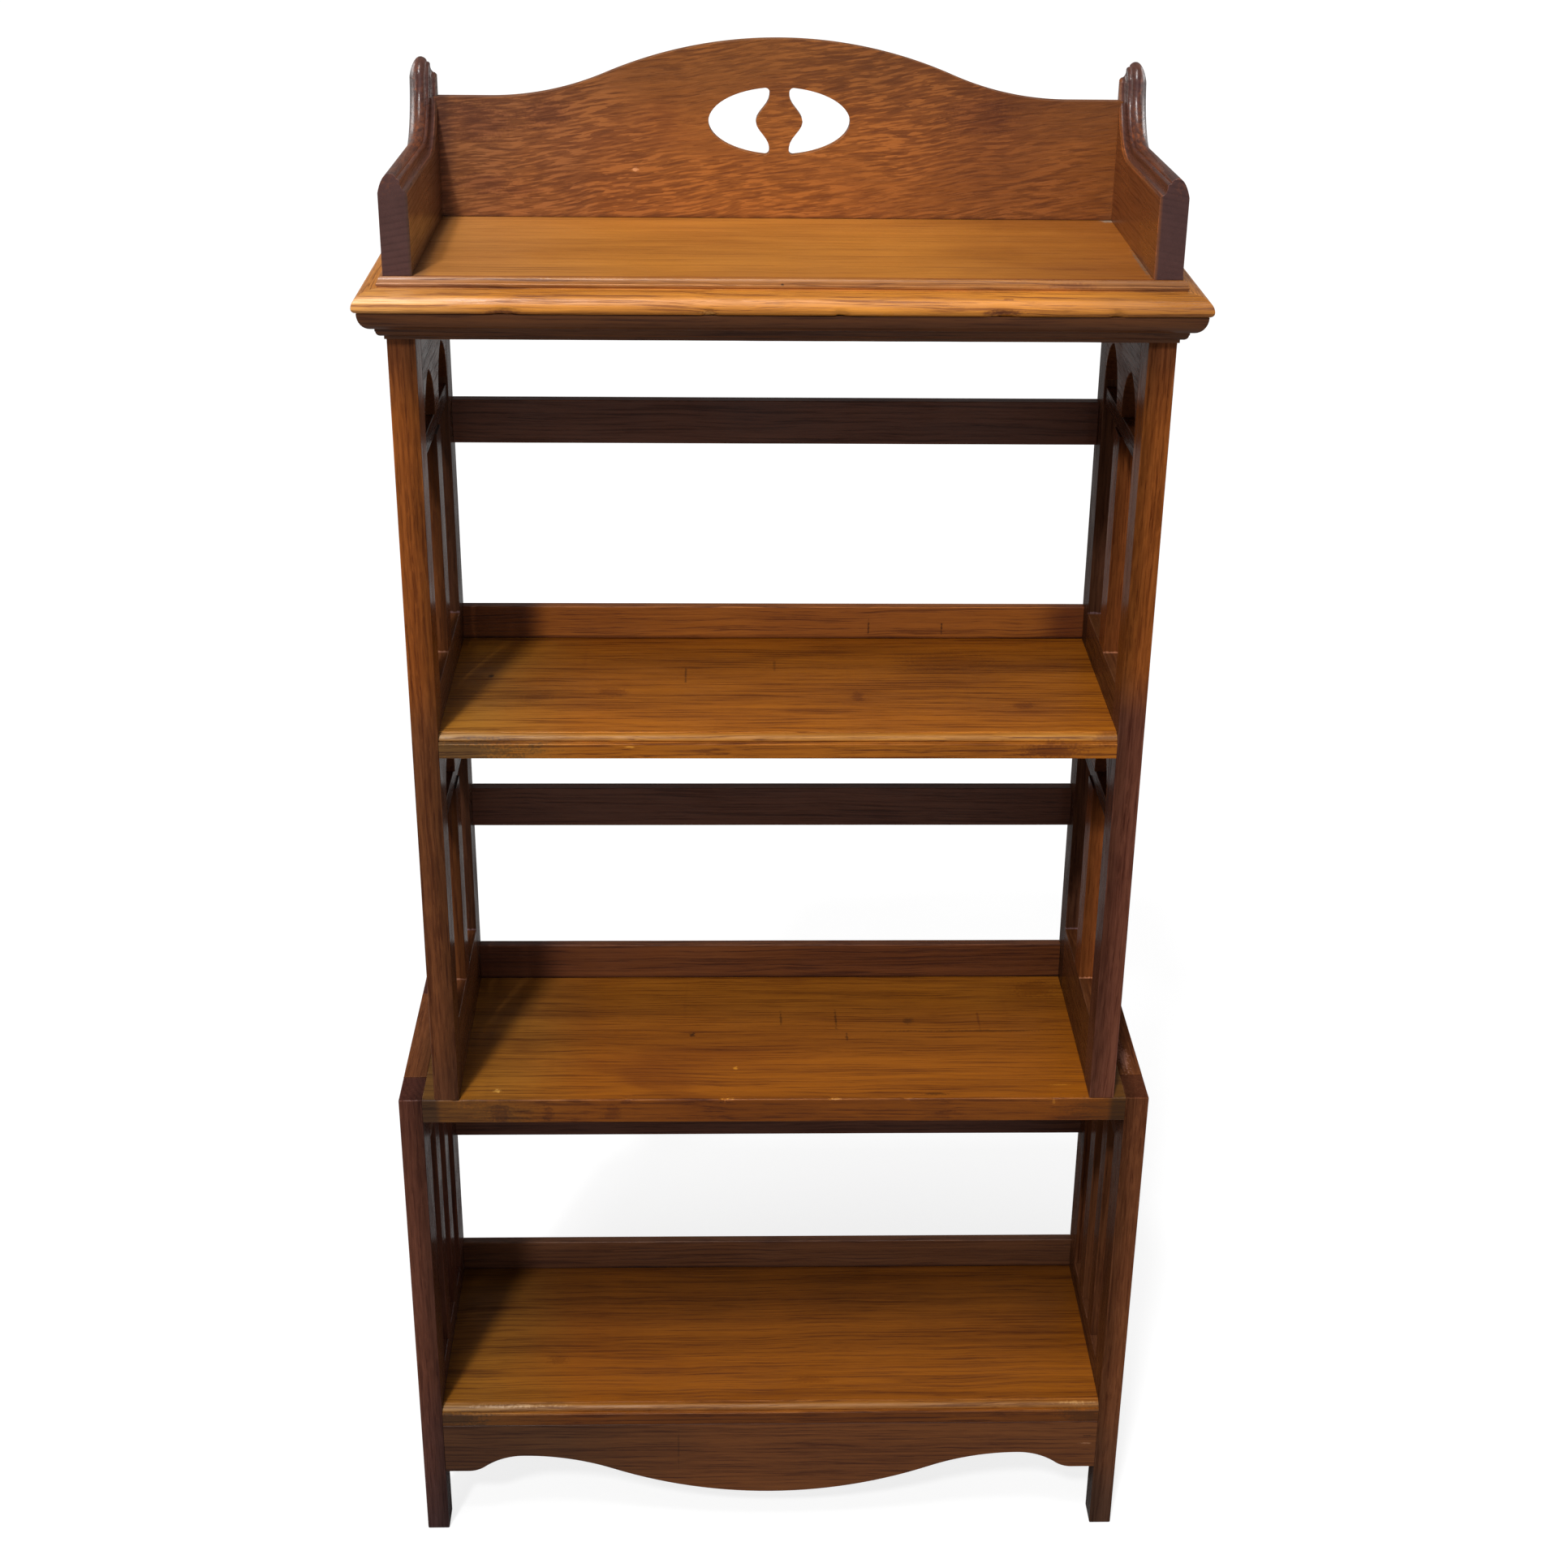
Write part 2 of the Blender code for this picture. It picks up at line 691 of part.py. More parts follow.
def make_moulded_shelf(name, inner, top):
    """A shelf with a moulded front edge, let into the sides behind a stop."""
    width = 2 * (inner + housing_depth)
    shelf = place(name, plate([nose_profile(top)], width), shelf_oak, facing_side(0))
    cut_boxes(shelf, stop_corners(inner, (top - moulded_shelf_thickness, top)))
    return shelf


def make_lip(name, inner, shelf_top, height):
    """The low board along the back of a shelf."""
    low = (-inner + gap, rear_y - lip_thickness, shelf_top + gap)
    high = (inner - gap, rear_y, shelf_top + height)
    return place(name, boxes([(low, high)]), shelf_oak)


def make_back_rail(name, inner, top):
    """A rail across the open back, tenoned into the rear stiles."""
    end = inner - gap
    tip = inner + back_tenon_length
    bottom = top - back_rail_height
    bar_front = rear_y - (back_rail_thickness + back_tenon_thickness) / 2
    body = ((-end, rear_y - back_rail_thickness, bottom), (end, rear_y, top))
    bar = ((-tip, bar_front, bottom + shoulder), (tip, bar_front + back_tenon_thickness, top - shoulder))
    return tenoned(name, rail_oak, body, bar)


def make_middle_shelf():
    """The shelf that closes the lower stage, level with the tops of its sides, and carries the upper one."""
    end = lower_inner - gap
    tip = lower_inner + housing_depth
    body = ((-end, front_y, middle_shelf_underside), (end, rear_y, middle_shelf_top))
    bar = ((-tip, front_y + housing_stop, middle_tongue_z[0]), (tip, rear_y - shoulder, middle_tongue_z[1]))
    shelf = tenoned("middle_shelf", shelf_oak, body, bar)
    holes = repeated(dowel_mesh(gap), stile_ends(upper_side_bottom))
    combine(shelf, cutter("middle_shelf_dowel_holes", holes))
    return shelf


def stile_end(side, middle, height):
    """Where the middle line of an upper stile meets the given height."""
    return side_faces(side, upper_half, upper_side_thickness), middle, height


def stile_ends(height):
    """The same for all four upper stiles."""
    return [stile_end(side, middle, height) for side, hand in sides for middle in stile_middles]


make_moulded_shelf("lower_shelf", lower_inner, lower_shelf_top)
make_middle_shelf()
make_moulded_shelf("upper_shelf", upper_inner, upper_shelf_top)
make_lip("lower_shelf_lip", lower_inner, lower_shelf_top, lower_lip_height)
make_lip("middle_shelf_lip", upper_inner, middle_shelf_top, middle_lip_height)
make_lip("upper_shelf_lip", upper_inner, upper_shelf_top, upper_lip_height)
make_back_rail("lower_back_rail", lower_inner, lower_back_rail_top)
make_back_rail("middle_back_rail", upper_inner, middle_back_rail_top)
make_back_rail("upper_back_rail", upper_inner, upper_back_rail_top)


# Shaped apron

def apron_outline():
    """Front view of the apron: a drop in the middle, a hollow on each side of it and level ends."""
    end = lower_inner - gap
    top = lower_shelf_z[0] - gap
    flat = end - apron_flat_length
    hollow = ogee((0, apron_centre_height), (apron_hump_place, apron_hump_height), apron_centre_share,
                  sweep_steps)
    outer = ogee((apron_hump_place, apron_hump_height), (flat, apron_end_height), apron_hump_share,
                 sweep_steps)
    half = hollow + outer[1:] + [(end, apron_end_height), (end, top)]
    return half + [(-x, z) for x, z in reversed(half[1:])]


apron = place("apron", plate([apron_outline()], apron_thickness), side_oak,
              facing_front(front_y + apron_thickness / 2))
tenon_low, tenon_high = apron_tenon_box()
tenon_bar = boxes([((-tenon_high[0], tenon_low[1], tenon_low[2]), tenon_high)])
combine(apron, cutter("apron_tenons", tenon_bar), "UNION")


# Top board with its cornice and bed moulding

def screw_place(side, towards):
    """Where a screw starts under the top board: two on each side run up into the gallery ends."""
    across = side * (upper_half - gallery_end_thickness / 2)
    return across, middle_y + towards * screw_spacing / 2, top_board_underside


def screw_mesh(clearance):
    """A countersunk screw, head down and level with the origin, or its hole."""
    head = screw_head_radius + clearance
    shank = screw_shank_radius + clearance
    tip = screw_length + clearance
    rim = [(head, 0), (head, -overrun), (0, -overrun)] if clearance else [(head, 0), (0, 0)]
    return turned([(0, tip), (shank, tip), (shank, screw_head_height)] + rim)


def screw_holes():
    """Holes for all four screws."""
    places = [screw_place(side, towards) for side, hand in sides for towards in (-1, 1)]
    return repeated(screw_mesh(gap), places)


top_board = place("top_board", boxes([((-upper_half, front_y, top_board_underside),
                                       (upper_half, rear_y, top_board_top))]), shelf_oak)
mortises = [grown(stub_tenon(x, y), gap) for x, y, z in stile_ends(side_top)]
cut_boxes(top_board, mortises)
combine(top_board, cutter("top_board_screw_holes", screw_holes()))


def cornice_profile():
    """Section of the cornice as (reach outwards, height): a small bead over one large round nosing."""
    top = top_board_top
    bead_out = cornice_flat + cornice_bead_reach
    bead_low = top - cornice_bead_height
    bead = arc((cornice_flat, bead_low), cornice_bead_reach, cornice_bead_height, math.pi / 2, 0, round_steps)
    step_out = bead_out + cornice_quirk
    step_low = bead_low - cornice_fillet
    quirk_low = step_low - cornice_quirk_height
    nose_centre = (cornice_nose_start, top_board_underside + cornice_nose_edge)
    nose = arc(nose_centre, cornice_overhang - cornice_nose_start, quirk_low - nose_centre[1],
               math.pi / 2, 0, 2 * round_steps)
    chin = (cornice_overhang - cornice_nose_edge * third, top_board_underside + cornice_nose_edge * third)
    return [(gap, top)] + bead + [(step_out, bead_low), (step_out, step_low), (bead_out, step_low),
                                  (bead_out, quirk_low)] + nose + [chin] + \
        [(cornice_overhang - cornice_nose_edge, top_board_underside), (gap, top_board_underside)]


def bed_profile():
    """Section of the bed moulding as (reach outwards, height): a round over a small hollow foot."""
    top = top_board_underside - gap
    inner = bed_top_reach - bed_round_reach
    round_low = top - bed_round_height
    big = arc((inner, top), bed_round_reach, -bed_round_height, 0, math.pi / 2, round_steps)
    fillet_out = inner - bed_fillet_reach
    fillet_low = round_low - bed_fillet_height
    foot_centre = (fillet_out - bed_foot_reach, fillet_low)
    foot = arc(foot_centre, bed_foot_reach - bed_edge_reach * third, -bed_foot_height, 0, math.pi / 2,
               round_steps)
    edge_low = fillet_low - bed_foot_height - bed_edge_height
    return [(gap, top)] + big + [(fillet_out, round_low), (fillet_out, fillet_low)] + foot + \
        [(bed_edge_reach, fillet_low - bed_foot_height), (bed_edge_reach, edge_low), (gap, edge_low)]


mitre_gap = gap / math.sqrt(2)


def make_front_moulding(name, profile):
    """A moulding along the front, its ends mitred: each point runs out as far as it stands proud."""
    outline = [(front_y - out, z) for out, z in profile]
    piece = place(name, plate([outline], upper_width), moulding_oak, facing_side(0))
    for vertex in piece.data.vertices:
        end = upper_half + (front_y - vertex.co.x) - mitre_gap
        vertex.co.z = math.copysign(end, vertex.co.z)
    return piece


def make_side_moulding(name, side, profile):
    """A moulding along one side, mitred at the front and square at the back."""
    outline = [(side * (upper_half + out), z) for out, z in profile]
    piece = place(name, plate([outline], carcass_depth), moulding_oak, facing_front(middle_y))
    for vertex in piece.data.vertices:
        if vertex.co.z > 0:
            out = abs(vertex.co.x) - upper_half
            vertex.co.z = middle_y - (front_y - out + mitre_gap)
    return piece


make_front_moulding("cornice_front", cornice_profile())
make_front_moulding("bed_moulding_front", bed_profile())
for side, hand in sides:
    make_side_moulding("cornice_" + hand + "_return", side, cornice_profile())
    make_side_moulding("bed_moulding_" + hand + "_return", side, bed_profile())


# Gallery

def crest_outline():
    """Front view of the gallery back: a low swept crest between level ends."""
    end = gallery_inner + gallery_rebate - gap
    base = top_board_top + gap
    shoulder = top_board_top + gallery_back_end_height
    rise = ogee((0, shoulder + gallery_crest_rise), (gallery_crest_half_length, shoulder),
                gallery_crest_share, 2 * sweep_steps)
    half = rise + [(end, shoulder), (end, base)]
    return half + [(-x, z) for x, z in reversed(half[1:])]


def piercing(side):
    """One half of the pierced oval, beside a slim bar that swells in the middle."""
    radius = piercing_tip_radius
    tip_x = piercing_bar_end + radius
    start = math.acos(tip_x / piercing_half_width)
    tip_z = piercing_half_height * math.sin(start) - radius
    oval = arc((0, 0), piercing_half_width, piercing_half_height, start, -start, 2 * piercing_steps)
    lower_tip = arc((tip_x, -tip_z), radius, radius, -math.pi / 2, -math.pi, tip_steps)
    upper_tip = arc((tip_x, tip_z), radius, radius, math.pi, math.pi / 2, tip_steps)
    bar = []
    for i in range(1, piercing_steps):
        z = tip_z * (2 * i / piercing_steps - 1)
        swell = ((1 + math.cos(math.pi * z / tip_z)) / 2) ** piercing_bar_swell
        bar.append((piercing_bar_end + (piercing_bar_middle - piercing_bar_end) * swell, z))
    centre = top_board_top + piercing_centre_height
    return [(side * x, centre + z) for x, z in oval + lower_tip[1:] + bar + upper_tip[:-1]]


gallery_back = place("gallery_back", plate([crest_outline(), piercing(-1), piercing(1)],
                                           gallery_back_thickness),
                     gallery_oak, facing_front(rear_y - gallery_back_thickness / 2))


def edge_profile():
    """Section of the moulded edge as (distance in from the outer face, drop below the ridge)."""
    centre = (edge_round_reach, edge_round_drop)
    outer = arc(centre, -edge_round_reach, -edge_round_drop, 0, math.pi / 2, round_steps)
    return outer + [(edge_flat_reach, edge_flat_drop), (edge_flat_reach, edge_flat_drop + edge_fillet),
                    (edge_bead_reach, edge_bead_drop), (edge_bead_reach, edge_bead_drop + edge_fillet),
                    (edge_cove_reach, edge_cove_drop), (edge_cove_reach, edge_cove_drop + edge_fillet),
                    (gallery_end_thickness, edge_inner_drop)]


def ridge_line():
    """Side view of the ridge of a gallery end: almost level, then swept up to the back."""
    sweep_start = (rear_y - gallery_sweep, top_board_top + gallery_front_height - gallery_dip)
    sweep = ogee(sweep_start, (rear_y, top_board_top + gallery_rear_height), gallery_sweep_share, sweep_steps)
    return [(front_y, top_board_top + gallery_front_height)] + sweep


def make_gallery_end(name, side):
    """An upright end whose upper edge is moulded all along the ridge, lofted from one section."""
    ridge = ridge_line()
    section = edge_profile()
    base = top_board_top + gap
    shape = bmesh.new()
    rows = []
    for i, (y, z) in enumerate(ridge):
        before = ridge[max(i - 1, 0)]
        after = ridge[min(i + 1, len(ridge) - 1)]
        run = (after[0] - before[0], after[1] - before[1])
        if i in (0, len(ridge) - 1):
            run = (1, 0)
        size = math.hypot(*run)
        normal = (-run[1] / size, run[0] / size)
        rows.append([shape.verts.new((side * (upper_half - x), y - drop * normal[0], z - drop * normal[1]))
                     for x, drop in section])
    for first, second in zip(rows, rows[1:]):
        for i in range(len(section) - 1):
            shape.faces.new((first[i], first[i + 1], second[i + 1], second[i]))
    corners = [[shape.verts.new((side * x, y, base)) for x in (upper_half, gallery_inner)]
               for y in (front_y, rear_y)]
    shape.faces.new([row[0] for row in rows] + [corners[1][0], corners[0][0]])
    shape.faces.new([row[-1] for row in rows] + [corners[1][1], corners[0][1]])
    shape.faces.new(rows[0] + [corners[0][1], corners[0][0]])
    shape.faces.new(rows[-1] + [corners[1][1], corners[1][0]])
    shape.faces.new([corners[0][0], corners[0][1], corners[1][1], corners[1][0]])
    bmesh.ops.recalc_face_normals(shape, faces=shape.faces)
    mesh = bpy.data.meshes.new(name)
    shape.to_mesh(mesh)
    shape.free()
    end = place(name, mesh, gallery_oak)
    low = (gallery_inner - overrun, rear_y - gallery_back_thickness - gap, top_board_top - overrun)
    high = (gallery_inner + gallery_rebate, rear_y + overrun,
            top_board_top + gallery_back_end_height + gap)
    cut_boxes(end, [on_side(side, (low, high))])
    combine(end, cutter(name + "_screw_holes", screw_holes()))
    return end


make_gallery_end("left_gallery_end", -1)
make_gallery_end("right_gallery_end", 1)

# Hidden fixings
dowel = dowel_mesh(0)
screw = screw_mesh(0)
for side, hand in sides:
    for towards, end, middle in ((-1, "front", stile_middles[0]), (1, "rear", stile_middles[1])):
        place(hand + "_" + end + "_dowel", dowel, beech,
              Matrix.Translation(stile_end(side, middle, upper_side_bottom)))
        place(hand + "_" + end + "_gallery_screw", screw, steel,
              Matrix.Translation(screw_place(side, towards)))
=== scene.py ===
"""Looks of the open-front bookcase: fine oak meshes around the fixed frame, finishes, light and camera."""

import math
import random

import bmesh
import bpy
from mathutils import Matrix, Vector, noise


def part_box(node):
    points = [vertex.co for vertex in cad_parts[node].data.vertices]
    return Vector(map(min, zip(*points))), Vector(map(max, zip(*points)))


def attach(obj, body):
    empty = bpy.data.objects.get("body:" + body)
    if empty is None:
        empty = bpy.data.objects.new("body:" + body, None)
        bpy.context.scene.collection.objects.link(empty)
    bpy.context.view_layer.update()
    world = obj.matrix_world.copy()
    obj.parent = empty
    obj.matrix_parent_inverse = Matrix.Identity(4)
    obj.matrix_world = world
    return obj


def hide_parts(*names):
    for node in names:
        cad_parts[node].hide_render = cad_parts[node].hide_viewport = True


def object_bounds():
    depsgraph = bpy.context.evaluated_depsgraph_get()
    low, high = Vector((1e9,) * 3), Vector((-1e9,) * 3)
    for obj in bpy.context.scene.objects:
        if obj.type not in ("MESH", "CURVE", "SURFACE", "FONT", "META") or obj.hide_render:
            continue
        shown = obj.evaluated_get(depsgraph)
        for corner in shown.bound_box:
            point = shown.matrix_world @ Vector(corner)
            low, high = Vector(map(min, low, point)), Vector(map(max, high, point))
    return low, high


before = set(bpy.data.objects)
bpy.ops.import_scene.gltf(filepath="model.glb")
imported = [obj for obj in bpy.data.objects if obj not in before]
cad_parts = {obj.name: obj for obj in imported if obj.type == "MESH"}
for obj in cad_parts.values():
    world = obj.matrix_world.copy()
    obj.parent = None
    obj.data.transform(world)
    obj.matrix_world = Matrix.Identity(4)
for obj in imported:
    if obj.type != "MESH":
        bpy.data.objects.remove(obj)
frame_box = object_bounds()

# Places read from the frame
along, deep, up = 0, 1, 2
board_low, board_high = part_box("top_board")
lower_stile_low, lower_stile_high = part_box("right_lower_front_stile")
upper_stile_low, upper_stile_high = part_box("right_upper_front_stile")
front_y = board_low.y
rear_y = board_high.y
middle_y = (front_y + rear_y) / 2
lower_half = lower_stile_high.x
lower_inner = lower_stile_low.x
upper_half = board_high.x
upper_inner = upper_stile_low.x
board_top = board_high.z
board_under = board_low.z
middle_shelf_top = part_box("middle_shelf")[1].z
lower_shelf_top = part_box("lower_shelf")[1].z
upper_shelf_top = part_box("upper_shelf")[1].z

# Shape sizes, as in the frame's own design
hairline = 0.00005
gap = 0.0003
arch_rise = 0.040
arch_land = 0.0015
arch_height = 0.046
foot_depth = 0.026
foot_straight_height = 0.060
foot_sweep_height = 0.035
side_arch_rise = 0.014
side_arch_land = 0.012
nose_depth = 0.0085
nose_fillet = 0.001
nose_round_depth = 0.0055
nose_round_height = 0.005
nose_quirk = 0.0006
nose_height = 0.008
cornice_overhang = 0.022
cornice_flat = 0.0015
cornice_bead_reach = 0.0025
cornice_bead_height = 0.0045
cornice_fillet = 0.002
cornice_quirk = 0.0008
cornice_quirk_height = 0.0015
cornice_nose_start = 0.0065
cornice_nose_edge = 0.004
bed_top_reach = 0.0189
bed_round_reach = 0.0104
bed_round_height = 0.0138
bed_fillet_reach = 0.001
bed_fillet_height = 0.0024
bed_foot_reach = 0.005
bed_foot_height = 0.0043
bed_edge_reach = 0.0015
bed_edge_height = 0.003
gallery_end_thickness = 0.022
gallery_back_thickness = 0.010
gallery_rebate = 0.005
gallery_front_height = 0.075
gallery_dip = 0.0035
gallery_rear_height = 0.126
gallery_sweep = 0.065
gallery_sweep_share = 0.727
gallery_back_end_height = 0.096
gallery_crest_rise = 0.0468
gallery_crest_half_length = 0.235
gallery_crest_share = 0.60
piercing_centre_height = 0.078
piercing_half_width = 0.0576
piercing_half_height = 0.0273
piercing_bar_middle = 0.0190
piercing_bar_end = 0.0080
piercing_bar_swell = 1.4
piercing_tip_radius = 0.0035
edge_peak_reach = 0.0092
edge_round_drop = 0.0142
edge_turn = math.radians(35)
edge_shoulder_reach = 0.0142
edge_shoulder_drop = 0.0028
edge_bead_reach = 0.0168
edge_bead_drop = 0.0060
edge_cove_reach = 0.0204
edge_cove_drop = 0.0124
edge_fillet = 0.0011
edge_inner_drop = 0.0142
apron_end_height = 0.070
apron_hump_height = 0.088
apron_centre_height = 0.0425
apron_hump_place = 0.235
apron_flat_length = 0.0215
apron_centre_share = 0.64
apron_hump_share = 0.70
gallery_inner = upper_half - gallery_end_thickness
lower_edges = (lower_stile_high.y, 2 * middle_y - lower_stile_high.y)
upper_edges = (upper_stile_high.y, 2 * middle_y - upper_stile_high.y)

# Rounding of the edges, and how far hand-finished faces wander
board_rounding = 0.0010
stile_rounding = 0.0012
bar_rounding = 0.0009
arch_rounding = 0.0008
gallery_end_rounding = 0.0006
nose_rounding = 0.0004
moulding_rounding = 0.0003
board_wander = 0.00008
shelf_wander = 0.00006
moulding_wander = 0.00016
slow_waves = 9
quick_waves = 38
chip_waves = 420
wander_seed = 1

# Fineness of the surface
long_pitch = 0.020
cross_pitch = 0.012
station_pitch = 0.008
moulding_pitch = 0.003
arc_steps = 14
round_steps = 9
tip_steps = 6
edge_segments = 3
sharp_angle = math.radians(28)
end_share = 0.2
weld_distance = 0.00001
flat_angle = math.radians(0.2)
overrun = 0.004


# Mesh building

def to_mesh(shape, name):
    """Turns a bmesh into a mesh and frees it."""
    bmesh.ops.recalc_face_normals(shape, faces=shape.faces)
    mesh = bpy.data.meshes.new(name)
    shape.to_mesh(mesh)
    shape.free()
    return mesh


def link(thing):
    """Puts an object in the scene."""
    bpy.context.scene.collection.objects.link(thing)
    return thing


def worked_out(thing):
    """The shape that a curve or a modified object comes to. The object is removed."""
    graph = bpy.context.evaluated_depsgraph_get()
    mesh = bpy.data.meshes.new_from_object(thing.evaluated_get(graph))
    bpy.data.objects.remove(thing)
    shape = bmesh.new()
    shape.from_mesh(mesh)
    bpy.data.meshes.remove(mesh)
    return shape


def join_flat_faces(shape):
    """Leaves one face where several lie in one plane."""
    bmesh.ops.dissolve_limit(shape, angle_limit=flat_angle, verts=shape.verts, edges=shape.edges)


def block(low, high, grain, extra=()):
    """An upright board with even cuts all over and extra ones at (axis, place), so that it can wander."""
    shape = bmesh.new()
    bmesh.ops.create_cube(shape, size=1.0)
    size = [b - a for a, b in zip(low, high)]
    middle = [(a + b) / 2 for a, b in zip(low, high)]
    bmesh.ops.scale(shape, vec=size, verts=shape.verts)
    bmesh.ops.translate(shape, vec=middle, verts=shape.verts)
    for axis in range(3):
        pitch = long_pitch if axis == grain else cross_pitch
        count = max(1, round(size[axis] / pitch))
        normal = [1.0 if i == axis else 0.0 for i in range(3)]
        places = [low[axis] + size[axis] * i / count for i in range(1, count)]
        places += [place for cut_axis, place in extra if cut_axis == axis]
        for place in places:
            point = list(middle)
            point[axis] = place
            geometry = shape.verts[:] + shape.edges[:] + shape.faces[:]
            bmesh.ops.bisect_plane(shape, geom=geometry, plane_co=point, plane_no=normal)
    bmesh.ops.remove_doubles(shape, verts=shape.verts, dist=weld_distance)
    return to_mesh(shape, "block")


def plate(loops, thickness, matrix):
    """A board of the given outline, with any holes, centred on its thickness and turned by the matrix."""
    curve = bpy.data.curves.new("outline", "CURVE")
    curve.dimensions = "2D"
    curve.fill_mode = "BOTH"
    curve.extrude = thickness / 2
    for loop in loops:
        spline = curve.splines.new("POLY")
        spline.points.add(len(loop) - 1)
        for point, (x, y) in zip(spline.points, loop):
            point.co = (x, y, 0, 1)
        spline.use_cyclic_u = True
    shape = worked_out(link(bpy.data.objects.new("outline", curve)))
    bpy.data.curves.remove(curve)
    bmesh.ops.remove_doubles(shape, verts=shape.verts, dist=weld_distance)
    join_flat_faces(shape)
    bmesh.ops.transform(shape, matrix=matrix, verts=shape.verts)
    return to_mesh(shape, "plate")


def facing_front(depth):
    """Turns an outline drawn as seen from the front (x, z) upright, at the given middle depth."""
    return Matrix(((1, 0, 0, 0), (0, 0, -1, depth), (0, 1, 0, 0), (0, 0, 0, 1)))


def facing_side(across):
    """Turns an outline drawn as seen from the side (y, z) upright, at the given place across the width."""
    return Matrix(((0, 0, 1, across), (1, 0, 0, 0), (0, 1, 0, 0), (0, 0, 0, 1)))


def skin(rows, name):
    """A closed mesh over rows of points, each row a closed section, with the first and last filled."""
    shape = bmesh.new()
    rows = [[shape.verts.new(point) for point in row] for row in rows]
    size = len(rows[0])
    for first, second in zip(rows, rows[1:]):
        for i in range(size):
            j = (i + 1) % size
            shape.faces.new((first[i], first[j], second[j], second[i]))
    shape.faces.new(rows[0])
    shape.faces.new(rows[-1])
    return to_mesh(shape, name)


def sweep(section, count, place):
    """A closed section carried along, with place(point, share) giving each point in space."""
    return skin([[place(point, i / count) for point in section] for i in range(count + 1)], "sweep")


def arc(centre, radius_x, radius_y, start, end, steps):
    """Points along part of an ellipse, angles in radians."""
    turn = [start + (end - start) * i / steps for i in range(steps + 1)]
    return [(centre[0] + radius_x * math.cos(a), centre[1] + radius_y * math.sin(a)) for a in turn]


def ogee(start, end, first_share, steps):
    """An S-shaped curve of two arcs, level at both ends. The first arc has the given share of the radii."""
    run = end[0] - start[0]
    rise = end[1] - start[1]
    angle = 2 * math.atan(abs(rise / run))
    total = abs(run) / math.sin(angle)
    first = first_share * total
    second = total - first
    along_sign = math.copysign(1, run)
    up_sign = math.copysign(1, rise)
    points = []
    for i in range(steps + 1):
        a = angle * i / steps
        points.append((start[0] + along_sign * first * math.sin(a),
                       start[1] + up_sign * first * (1 - math.cos(a))))
    for i in range(1, steps + 1):
        a = angle * (1 - i / steps)
        points.append((end[0] - along_sign * second * math.sin(a),
                       end[1] - up_sign * second * (1 - math.cos(a))))
    return points


def mirrored(half):
    """A whole front view from its right half, which starts on the middle line."""
    return half + [(-x, z) for x, z in reversed(half[1:])]


def turned_back(outline):
    """A side view with front and rear changed over."""
    return [(2 * middle_y - y, z) for y, z in outline]


def cut_box(mesh, low, high):
    """The mesh with a box taken out of it."""
    piece = link(bpy.data.objects.new("piece", mesh))
    tool = link(bpy.data.objects.new("tool", block(low, high, along)))
    step = piece.modifiers.new("cut", "BOOLEAN")
    step.operation = "DIFFERENCE"
    step.solver = "EXACT"
    step.object = tool
    shape = worked_out(piece)
    bpy.data.objects.remove(tool)
    join_flat_faces(shape)
    return to_mesh(shape, "cut")


def wander(mesh, amount, seed):
    """Moves each point by a hair's breadth, as on hand-finished boards, and keeps it in the frame's box."""
    offset = Vector((seed * 1.7, seed * 2.3, seed * 3.1))
    for vertex in mesh.vertices:
        slow = noise.noise_vector(vertex.co * slow_waves + offset)
        quick = noise.noise_vector(vertex.co * quick_waves + offset)
        vertex.co += (slow + quick * 0.5) * amount
        for axis in range(3):
            vertex.co[axis] = min(max(vertex.co[axis], frame_box[0][axis]), frame_box[1][axis])


def chip(mesh, chips):
    """Small dents and lost corners: each pushes in the points near a centre, most of all in the middle."""
    for centre, reach, push in chips:
        for vertex in mesh.vertices:
            away = Vector([(a - c) / r for a, c, r in zip(vertex.co, centre, reach)]).length
            if away < 1:
                rough = 0.8 + 0.9 * noise.noise(vertex.co * chip_waves)
                vertex.co += Vector(push) * (1 - away ** 2) * rough


def butts(axis, low, high):
    """Both ends of a piece where it meets its neighbours, for weigh_edges."""
    return [(axis, low), (axis, high)]


def weigh_edges(mesh, ends):
    """Marks every sharp edge for rounding, and those on a butted end for far less of it."""
    shape = bmesh.new()
    shape.from_mesh(mesh)
    weight = shape.edges.layers.float.new("bevel_weight_edge")
    for edge in shape.edges:
        if len(edge.link_faces) != 2 or edge.calc_face_angle() < sharp_angle:
            continue
        butted = any(all(abs(v.co[axis] - place) < gap for v in edge.verts) for axis, place in ends)
        edge[weight] = end_share if butted else 1.0
    shape.to_mesh(mesh)
    shape.free()


# The same wander in each run: without a set seed, the noise takes its offsets from the clock
noise.seed_set(wander_seed)

pieces = []


def dress(node, mesh, grain, look_name, rounding, ends=(), marks=(), fades=(), wobble=board_wander,
          chips=()):
    """Puts the finished mesh in the place of a frame node, with rounded edges and its own oak."""
    seed = len(pieces) + 1
    if wobble:
        wander(mesh, wobble, seed)
    chip(mesh, chips)
    weigh_edges(mesh, ends)
    mesh.shade_smooth()
    name = node + "_oak"
    mesh.name = name
    piece = link(bpy.data.objects.new(name, mesh))
    mesh.materials.append(oak(name, look_name, grain, seed, False, marks, fades))
    mesh.materials.append(oak(name + "_edge", look_name, grain, seed, True, marks, fades))
    edges = piece.modifiers.new("rounded_edges", "BEVEL")
    edges.width = rounding
    edges.segments = edge_segments
    edges.limit_method = "WEIGHT"
    edges.material = 1
    edges.use_clamp_overlap = True
    normals = piece.modifiers.new("even_normals", "WEIGHTED_NORMAL")
    normals.keep_sharp = False
    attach(piece, "root")
    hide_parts(node)
    pieces.append(piece)


# Materials

